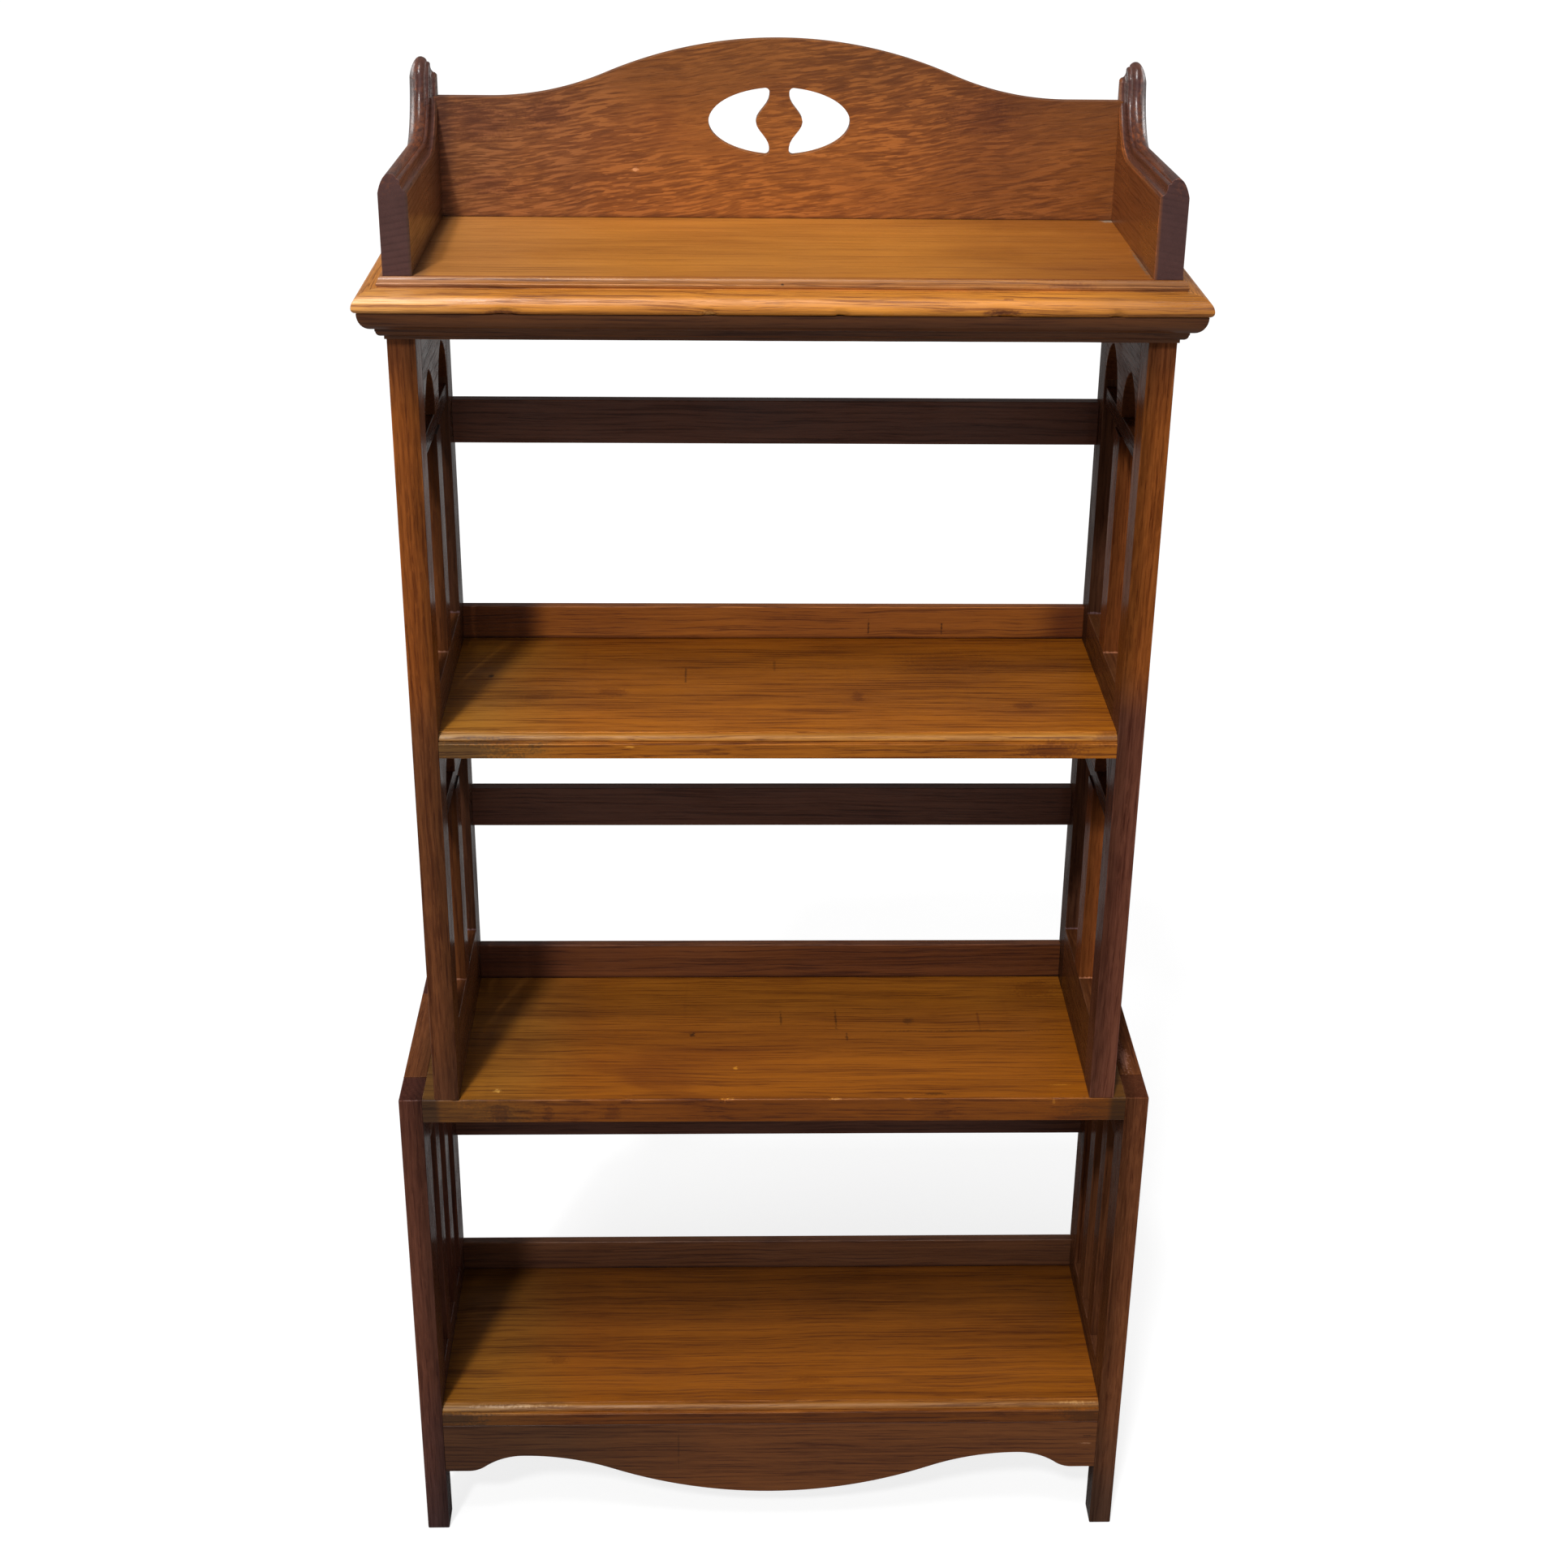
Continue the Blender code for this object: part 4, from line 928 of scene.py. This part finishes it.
make_moulded_shelf(
    "upper_shelf", upper_inner, "shelf_upper",
    [*top_marks(upper_shelf_top, [
        (-0.2452, 0.0252, 0.0035, 0.0050, soot, 0.85), (-0.1393, -0.0083, 0.016, 0.012, umber, 0.55),
        (-0.2042, -0.0223, 0.018, 0.014, umber, 0.35), (-0.0779, 0.0275, 0.0014, 0.022, soot, 0.55),
        (-0.0010, 0.0500, 0.0016, 0.018, soot, 0.4), (0.0683, -0.0183, 0.007, 0.011, umber, 0.6),
        (0.2074, -0.0370, 0.012, 0.008, umber, 0.6), (0.1530, 0.0594, 0.050, 0.026, umber, 0.45)]),
     *front_marks(front_y, [(-0.2650, 0.8240, 0.080, 0.016, dusk, 0.9),
                            (0.2240, 0.8250, 0.030, 0.010, purple, 0.75)]),
     *front_marks(front_y, [(-0.1217, 0.8278, 0.005, 0.0010, bare_wood_and_highlight, 0.8)], 0.003),
     *front_marks(bead_y, [(0.2700, 0.8330, 0.014, 0.008, purple, 0.6)], 0.008)],
    # Painted shade, darker towards the back, and painted sheen, paler and bluer at the left end.
    [(deep, 0.03, rear_y, (0.84, 0.82, 0.80)), (along, -0.15, -0.26, (1.0, 1.35, 3.2))])

chip_places = (-0.2790, -0.1310, -0.0443, 0.0520, 0.1170, 0.2460)
chip_cuts = [(along, place + step) for place in chip_places for step in (-0.006, -0.003, 0.0, 0.003, 0.006)]
make_board(
    "middle_shelf", lower_inner, "shelf_middle", board_rounding,
    chip_cuts + [(deep, front_y + 0.002), (up, middle_shelf_top - 0.002)],
    marks=[
        *top_marks(middle_shelf_top, [
            (-0.0741, 0.0083, 0.0035, 0.0050, soot, 0.8), (0.0079, 0.0365, 0.0014, 0.018, soot, 0.5),
            (0.0590, 0.0360, 0.0016, 0.020, soot, 0.6), (0.0680, 0.0040, 0.0014, 0.009, soot, 0.6),
            (0.1260, 0.0310, 0.006, 0.008, soot, 0.5), (0.1920, 0.0350, 0.0016, 0.020, umber, 0.6),
            (0.1900, 0.0140, 0.080, 0.0022, soot, 0.5), (0.1420, -0.0920, 0.016, 0.003, soot, 0.6),
            (0.2500, 0.0900, 0.030, 0.020, umber, 0.5), (-0.2446, -0.0846, 0.004, 0.003, bare_wood_and_highlight, 0.9),
            (-0.0348, -0.0488, 0.003, 0.003, bare_wood_and_highlight, 0.8), (0.2510, -0.0780, 0.013, 0.0012, bare_wood_and_highlight, 0.3),
            (0.3040, -0.0340, 0.0016, 0.022, bare_wood_and_highlight, 0.8)]),
        *front_marks(front_y, [
            (-0.0443, middle_shelf_top, 0.008, 0.0018, bare_wood_and_highlight, 0.9),
            (0.0520, middle_shelf_top, 0.006, 0.0016, bare_wood_and_highlight, 0.9),
            (0.2460, middle_shelf_top - 0.004, 0.0016, 0.003, bare_wood_and_highlight, 0.4)], 0.003),
        *front_marks(front_y, [
            (-0.2424, 0.4742, 0.010, 0.012, purple, 0.6), (-0.1998, 0.4740, 0.006, 0.010, purple, 0.55),
            (-0.1428, 0.4754, 0.010, 0.012, purple, 0.5), (0.1500, 0.4730, 0.014, 0.005, purple, 0.4),
            (-0.3100, 0.4740, 0.110, 0.030, dusk, 0.55), (0.3050, 0.4740, 0.060, 0.030, dusk, 0.5)])],
    fades=[(deep, front_y + 0.0020, front_y + 0.0008, (0.68, 0.62, 0.76)),
           # Painted light, lighter and bluer towards the back, and painted sheen, paler and bluer at the left
           # end.
           (deep, -0.01, rear_y, (1.30, 1.50, 2.60)), (along, -0.15, -0.26, (1.0, 1.30, 3.0)),
           (along, -upper_half + 0.006, -upper_half - 0.001, (0.45, 0.52, 1.0)),
           (along, upper_half - 0.006, upper_half + 0.001, (0.42, 0.55, 1.3))],
    chips=[((place, front_y, middle_shelf_top), (0.0065, 0.0030, 0.0030), (0.0, 0.0011, -0.0009))
           for place in chip_places])

lip_cracks = front_marks(0.1123, [(0.0843, 0.8500, 0.0010, 0.010, soot, 0.75),
                                  (0.1499, 0.8490, 0.0010, 0.008, soot, 0.75)])
for node, inner, look_name, marks, fades in (
        ("lower_shelf_lip", lower_inner, "lip_lower", (), ()),
        # The left-end fades on the middle and upper lips are painted shadow.
        ("middle_shelf_lip", upper_inner, "lip", (), [(along, -0.150, -0.230, (0.62, 0.60, 0.86))]),
        ("upper_shelf_lip", upper_inner, "lip_upper", lip_cracks,
         [(along, -0.200, -0.225, (0.40, 0.36, 0.52)), (along, 0.225, 0.262, (0.46, 0.38, 0.56))])):
    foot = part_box(node)[0].z
    joint_dirt = (up, foot + 0.004, foot + 0.0006, (0.42, 0.36, 0.42))
    make_board(node, inner, look_name, bar_rounding, marks=marks, fades=[joint_dirt, *fades])

for bay, inner in (("lower", lower_inner), ("middle", upper_inner), ("upper", upper_inner)):
    make_board(bay + "_back_rail", inner, "rail", board_rounding)


# Apron

def apron_outline():
    """Front view of the apron: a drop in the middle, a hollow on each side of it and level ends."""
    end = lower_inner - hairline
    hump = (apron_hump_place, apron_hump_height)
    flat = (lower_inner - gap - apron_flat_length, apron_end_height)
    hollow = ogee((0, apron_centre_height), hump, apron_centre_share, arc_steps)
    outer = ogee(hump, flat, apron_hump_share, arc_steps)
    return mirrored(hollow + outer[1:] + [(end, apron_end_height), (end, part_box("apron")[1].z)])


low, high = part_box("apron")
apron_end = lower_inner - hairline
dress("apron", plate([apron_outline()], high.y - low.y, facing_front((low.y + high.y) / 2)), along, "apron",
      board_rounding, butts(along, -apron_end, apron_end),
      marks=front_marks(front_y, [(0.3010, 0.0990, 0.008, 0.0012, bare_wood_and_highlight, 0.8),
                                  (0.3010, 0.1080, 0.006, 0.0010, soot, 0.6),
                                  (-0.0881, 0.0950, 0.0010, 0.026, soot, 0.35)]),
      fades=[(along, -0.02, -0.22, (0.62, 0.74, 1.05)), (up, 0.1234, 0.1250, (0.5, 0.45, 0.5))], wobble=0.0)


# Top board, cornice and bed moulding

corner = (gallery_inner - 0.003, rear_y - gallery_back_thickness - 0.003, board_top)
corner_dust = [((gallery_inner - 0.0012, -0.045, board_top), (0.0020, 0.060, 0.0016), (0.60, 1.20, 6.0), 0.8),
               (corner, (0.008, 0.005, 0.003), (1.1, 2.6, 14.0), 0.9)]
dress("top_board", block(board_low, board_high, along), along, "top", nose_rounding,
      marks=[*top_marks(board_top, [(0.2200, -0.0660, 0.030, 0.004, umber, 0.4),
                                    (0.2450, -0.0300, 0.020, 0.003, umber, 0.35),
                                    (-0.1600, 0.0300, 0.060, 0.0008, umber, 0.6),
                                    (-0.0300, -0.0600, 0.080, 0.0007, umber, 0.5)]),
             *corner_dust],
      fades=[(along, 0.06, 0.27, (0.62, 0.53, 0.49)), (along, -0.10, -0.25, (1.0, 1.08, 1.7)),
             # Painted shadow: darker beside the left gallery end.
             (along, -gallery_inner + 0.016, -gallery_inner + 0.002, (0.56, 0.60, 0.90)),
             (deep, front_y + 0.004, front_y + 0.0004, (0.62, 0.48, 0.50))])


def cornice_section():
    """Section of the cornice as (reach outwards, height): a small bead over one large round nosing."""
    quarter = (math.pi / 2, 0)
    bead_out = cornice_flat + cornice_bead_reach
    bead_low = board_top - cornice_bead_height
    bead = arc((cornice_flat, bead_low), cornice_bead_reach, cornice_bead_height, *quarter, round_steps)
    step_out = bead_out + cornice_quirk
    step_low = bead_low - cornice_fillet
    quirk_low = step_low - cornice_quirk_height
    nose_z = board_under + cornice_nose_edge
    nose = arc((cornice_nose_start, nose_z), cornice_overhang - cornice_nose_start, quirk_low - nose_z,
               *quarter, 2 * round_steps)
    chin = arc((cornice_overhang - cornice_nose_edge, nose_z), cornice_nose_edge, -cornice_nose_edge,
               0, math.pi / 2, round_steps)
    return [(gap, board_top)] + bead + [(step_out, bead_low), (step_out, step_low), (bead_out, step_low),
                                        (bead_out, quirk_low)] + nose + chin[1:] + [(gap, board_under)]


def bed_section():
    """Section of the bed moulding as (reach outwards, height): a round over a small hollow foot."""
    top = board_under - gap
    inner = bed_top_reach - bed_round_reach
    round_low = top - bed_round_height
    big = arc((inner, top), bed_round_reach, -bed_round_height, 0, math.pi / 2, round_steps)
    fillet_out = inner - bed_fillet_reach
    fillet_low = round_low - bed_fillet_height
    foot_low = fillet_low - bed_foot_height
    foot = arc((fillet_out - bed_foot_reach, fillet_low), bed_foot_reach - bed_edge_reach / 3,
               -bed_foot_height, 0, math.pi / 2, round_steps)
    edge_low = foot_low - bed_edge_height
    return [(gap, top)] + big + [(fillet_out, round_low), (fillet_out, fillet_low)] + foot + \
        [(bed_edge_reach, foot_low), (bed_edge_reach, edge_low), (gap, edge_low)]


def along_front(point, share):
    """Carries a moulding along the front, mitred at both ends."""
    out, z = point
    return ((2 * share - 1) * (upper_half + out - hairline), front_y - out, z)


def along_side(side):
    """Carries a moulding along one side, from the back to the front mitre."""
    def place(point, share):
        out, z = point
        return (side * (upper_half + out), rear_y + (front_y - out + hairline - rear_y) * share, z)
    return place


def make_moulding(start, section, look_name, front_fades=(), side_fades=None, marks=(), chips=()):
    """One moulding round the top board: a front length and two mitred returns."""
    front = sweep(section, round(2 * upper_half / moulding_pitch), along_front)
    dress(start + "_front", front, along, look_name, moulding_rounding, marks=marks, fades=front_fades,
          wobble=moulding_wander, chips=chips)
    for side, hand in ((-1, "left"), (1, "right")):
        length = sweep(section, round((rear_y - front_y) / moulding_pitch), along_side(side))
        dress(start + "_" + hand + "_return", length, deep, look_name, moulding_rounding,
              fades=side_fades[hand] if side_fades else ())


nose_front = front_y - cornice_overhang
nose_low = board_under + 0.002
bead_z = board_top - 0.004
bead_tone = (up, board_top - 0.0085, board_top - 0.0065, (0.70, 0.73, 1.35))
make_moulding(
    "cornice", cornice_section(), "cornice",
    # The first fade, paler at the left end, and the last, paler over the lower nose, are painted highlights.
    [(along, -0.20, -0.31, (1.30, 1.60, 3.20)), (along, 0.17, 0.29, (0.66, 0.66, 0.80)), bead_tone,
     (up, board_top - 0.0105, board_top - 0.0130, (1.26, 1.28, 1.35))],
    {"left": [bead_tone], "right": [bead_tone, (up, board_under, board_under + 0.0001, (0.8, 0.8, 0.9))]},
    [*front_marks(front_y - 0.003, [(-0.0013, bead_z, 0.0024, 0.0024, soot, 0.95),
                                    (0.2150, bead_z, 0.024, 0.003, purple, 0.5)]),
     ((0.1620, nose_front + 0.001, nose_low + 0.001), (0.017, 0.006, 0.0034), purple, 0.9),
     ((0.1660, nose_front + 0.004, board_top - 0.011), (0.0060, 0.004, 0.0008), purple, 0.7),
     ((-0.2079, nose_front + 0.002, nose_low - 0.001), (0.015, 0.006, 0.0026), purple, 0.8),
     ((-0.0560, nose_front + 0.001, nose_low), (0.008, 0.005, 0.0018), bare_wood_and_highlight, 0.8)],
    [((place, nose_front + 0.001, nose_low), (reach, 0.007, 0.0045), (0.0, 0.0014, 0.0007))
     for place, reach in ((-0.2079, 0.013), (-0.0560, 0.007), (0.0420, 0.006), (0.1620, 0.015),
                          (0.2480, 0.006))])
make_moulding("bed_moulding", bed_section(), "bed")


# Gallery

def crest_outline():
    """Front view of the gallery back: a low swept crest between level ends."""
    end = gallery_inner + gallery_rebate - gap
    level = board_top + gallery_back_end_height
    rise = ogee((0, level + gallery_crest_rise), (gallery_crest_half_length, level), gallery_crest_share,
                2 * arc_steps)
    return mirrored(rise + [(end, level), (end, board_top + gap)])


def piercing(side):
    """One half of the pierced oval, beside a slim bar that swells in the middle."""
    radius = piercing_tip_radius
    tip_x = piercing_bar_end + radius
    start = math.acos(tip_x / piercing_half_width)
    tip_z = piercing_half_height * math.sin(start) - radius
    oval = arc((0, 0), piercing_half_width, piercing_half_height, start, -start, 2 * arc_steps)
    lower_tip = arc((tip_x, -tip_z), radius, radius, -math.pi / 2, -math.pi, tip_steps)
    upper_tip = arc((tip_x, tip_z), radius, radius, math.pi, math.pi / 2, tip_steps)
    bar = []
    for i in range(1, arc_steps):
        z = tip_z * (2 * i / arc_steps - 1)
        swell = ((1 + math.cos(math.pi * z / tip_z)) / 2) ** piercing_bar_swell
        bar.append((piercing_bar_end + (piercing_bar_middle - piercing_bar_end) * swell, z))
    centre = board_top + piercing_centre_height
    return [(side * x, centre + z) for x, z in oval + lower_tip[1:] + bar + upper_tip[:-1]]


back_face = rear_y - gallery_back_thickness
dress("gallery_back", plate([crest_outline(), piercing(-1), piercing(1)], gallery_back_thickness,
                            facing_front(rear_y - gallery_back_thickness / 2)),
      along, "gallery", arch_rounding,
      marks=[*front_marks(back_face, [
                 (-0.2468, 1.2884, 0.038, 0.020, purple, 0.42), (-0.1875, 1.2952, 0.022, 0.014, purple, 0.40),
                 (-0.2391, 1.2398, 0.030, 0.009, purple, 0.35), (-0.2128, 1.2334, 0.022, 0.007, purple, 0.35),
                 (0.1618, 1.2945, 0.034, 0.018, purple, 0.40)], 0.005),
             *front_marks(back_face, [(-0.1174, 1.2511, 0.0030, 0.0026, bare_wood_and_highlight, 0.6)])],
      fades=[(along, 0.02, 0.22, (0.70, 0.68, 0.80)), (along, -0.06, -0.24, (0.76, 0.86, 1.50)),
             # Painted shadow: darker beside the left gallery end.
             (along, -gallery_inner + 0.018, -gallery_inner + 0.004, (0.60, 0.60, 0.76)),
             # The last fade, darker along the foot where it meets the top board, is painted shade.
             (up, 1.28, 1.34, (0.72, 0.74, 0.84)), (up, board_top + 0.004, board_top, (0.60, 0.56, 0.60))],
      wobble=0.0)


def edge_section():
    """Section of the moulded edge as (distance in from the outer face, drop below the ridge):
    a large round, a fine bead and a hollow."""
    flank = [(x / math.cos(edge_turn), (1 - z) / (1 - math.sin(edge_turn)))
             for x, z in arc((0, 0), 1, 1, math.pi / 2, edge_turn, round_steps)]
    points = [(edge_peak_reach * (1 - x), edge_round_drop * drop) for x, drop in reversed(flank)]
    inner_width = edge_shoulder_reach - edge_peak_reach
    points += [(edge_peak_reach + inner_width * x, edge_shoulder_drop * drop) for x, drop in flank[1:]]
    bead_top = edge_shoulder_drop + edge_fillet
    cove_top = edge_bead_drop + edge_fillet
    bead = arc((edge_shoulder_reach, edge_bead_drop), edge_bead_reach - edge_shoulder_reach,
               bead_top - edge_bead_drop, math.pi / 2, 0, tip_steps)
    cove = arc((edge_cove_reach, cove_top), edge_bead_reach - edge_cove_reach, edge_cove_drop - cove_top,
               0, math.pi / 2, tip_steps)
    return points + bead + cove + [(gallery_end_thickness, edge_inner_drop)]


def ridge_line():
    """Side view of the ridge of a gallery end: almost level, then swept up to the back."""
    sweep_start = (rear_y - gallery_sweep, board_top + gallery_front_height - gallery_dip)
    curve = ogee(sweep_start, (rear_y, board_top + gallery_rear_height), gallery_sweep_share, arc_steps)
    count = round((sweep_start[0] - front_y) / station_pitch)
    level = [(front_y + (sweep_start[0] - front_y) * i / count, board_top + gallery_front_height
              - gallery_dip * i / count) for i in range(count)]
    return level + curve


def make_gallery_end(node, side, inner_light_tint):
    """An upright end whose upper edge is moulded all along the ridge, lofted from one section."""
    ridge = ridge_line()
    section = edge_section()
    base = board_top + hairline
    last = len(ridge) - 1
    rows = []
    for i, (y, z) in enumerate(ridge):
        before = ridge[max(i - 1, 0)]
        after = ridge[min(i + 1, last)]
        run = (1, 0) if i in (0, last) else (after[0] - before[0], after[1] - before[1])
        size = math.hypot(*run)
        normal = (-run[1] / size, run[0] / size)
        row = [(side * (upper_half - x), y - drop * normal[0], z - drop * normal[1]) for x, drop in section]
        rows.append([(row[0][0], y, base)] + row + [(row[-1][0], y, base)])
    rebate_x = sorted((side * (gallery_inner - overrun), side * (gallery_inner + gallery_rebate)))
    mesh = cut_box(skin(rows, node),
                   (rebate_x[0], rear_y - gallery_back_thickness - hairline, board_top - overrun),
                   (rebate_x[1], rear_y + overrun, board_top + gallery_back_end_height + hairline))
    crown = (side * (upper_half - 0.004), -0.015, board_top + 0.072)
    bend = (side * (upper_half - 0.005), 0.062, board_top + 0.090)
    rise = (side * (upper_half - 0.006), rear_y - 0.006, board_top + 0.112)
    # Painted highlights on the moulded ridge: paler over the crown and the bend, and a pale sheen up the
    # back.
    marks = [(crown, (0.016, 0.105, 0.020), painted_ridge_highlight, 0.6), (bend, (0.017, 0.050, 0.045), painted_ridge_highlight, 0.6),
             (rise, (0.0030, 0.016, 0.022), (2.2, 2.0, 1.8), 0.7)]
    fades = [(along, side * (gallery_inner + 0.003), side * (gallery_inner + 0.0005), inner_light_tint)]
    dress(node, mesh, deep, "gallery_end", gallery_end_rounding, (), marks, fades, 0.0)


# Painted light on the inner faces: the right end's much lighter, the left end's a little darker.
make_gallery_end("left_gallery_end", -1, (0.90, 0.92, 0.60))
make_gallery_end("right_gallery_end", 1, (2.40, 1.95, 0.75))


# Floor, light and camera

floor_reach = 60.0
floor_glow = 0.81
room_light = 0.13
room_gloss = 0.03
lamp_distance = 4


def seen_rays(g, path):
    """1 on the rays that show a surface to the camera, straight or through something clear."""
    return g.math("MAXIMUM", path["Is Camera Ray"], path["Is Transmission Ray"])


def pale_floor():
    """White to the camera with the object's shadow on it, and duller as a source of bounced light."""
    material, g, shader = new_material("floor")
    seen = seen_rays(g, g.node("ShaderNodeLightPath").outputs)
    g.feed(shader.inputs["Base Color"], g.blend(seen, (0.30, 0.30, 0.30, 1.0), (0.26, 0.26, 0.26, 1.0)))
    shader.inputs["Roughness"].default_value = 0.9
    shader.inputs["Specular IOR Level"].default_value = 0.0
    shader.inputs["Emission Color"].default_value = (1.0, 1.0, 1.0, 1.0)
    g.feed(shader.inputs["Emission Strength"], g.times(seen, floor_glow))
    return material


bpy.ops.mesh.primitive_plane_add(size=2 * floor_reach, location=(0, 0, 0))
floor = bpy.context.object
floor.name = "floor"
floor.data.materials.append(pale_floor())

world = bpy.data.worlds.new("studio")
bpy.context.scene.world = world
world.use_nodes = True
g = Graph(world.node_tree)
background = world.node_tree.nodes["Background"]
path = g.node("ShaderNodeLightPath").outputs
background.inputs["Color"].default_value = (1.0, 1.0, 1.0, 1.0)
strength = g.plus(room_light, g.times(path["Is Glossy Ray"], room_gloss))
g.feed(background.inputs["Strength"], g.math("MAXIMUM", seen_rays(g, path), strength))


def soft_lamp(name, strength, spread, azimuth, elevation):
    """A broad lamp far off. Azimuth counts from the front towards the left, both angles in degrees."""
    data = bpy.data.lights.new(name, "SUN")
    data.energy = strength
    data.angle = math.radians(spread)
    lamp = link(bpy.data.objects.new(name, data))
    turn, rise = math.radians(azimuth), math.radians(elevation)
    source = Vector((-math.sin(turn) * math.cos(rise), -math.cos(turn) * math.cos(rise), math.sin(rise)))
    lamp.rotation_mode = "QUATERNION"
    lamp.rotation_quaternion = source.to_track_quat("Z", "Y")
    lamp.location = source * lamp_distance


soft_lamp("key_low", 1.62, 5, 17.5, 48)
soft_lamp("key_middle", 0.58, 6, 17.5, 66)
soft_lamp("key_high", 0.72, 8, 18, 76)
soft_lamp("slots", 0.24, 14, 42, 60)
soft_lamp("fill", 0.32, 50, -5, 18)
soft_lamp("left", 0.40, 30, 90, 5)
soft_lamp("right", 0.40, 30, -90, 5)
soft_lamp("back_left", 0.60, 30, 132, 5)
soft_lamp("back_right", 0.60, 30, -132, 5)

camera_place = Vector((-0.0459, -1.83295, 1.6175))
camera_pitch = math.radians(25.39)
camera_yaw = math.radians(1.66)
camera_roll = math.radians(0.70)
forward = Vector((math.sin(camera_yaw) * math.cos(camera_pitch),
                  math.cos(camera_yaw) * math.cos(camera_pitch), -math.sin(camera_pitch)))
level_right = Vector((math.cos(camera_yaw), -math.sin(camera_yaw), 0))
level_up = level_right.cross(forward)
right = math.cos(camera_roll) * level_right + math.sin(camera_roll) * level_up
camera_up = math.cos(camera_roll) * level_up - math.sin(camera_roll) * level_right
camera_data = bpy.data.cameras.new("camera")
camera_data.sensor_width = 36
camera_data.lens = 53.59
camera_data.clip_end = 200
camera = link(bpy.data.objects.new("camera", camera_data))
camera.matrix_world = Matrix((
    (right.x, camera_up.x, -forward.x, camera_place.x),
    (right.y, camera_up.y, -forward.y, camera_place.y),
    (right.z, camera_up.z, -forward.z, camera_place.z),
    (0, 0, 0, 1)))
bpy.context.scene.camera = camera
bpy.context.scene.view_settings.view_transform = "Standard"

bpy.context.view_layer.update()
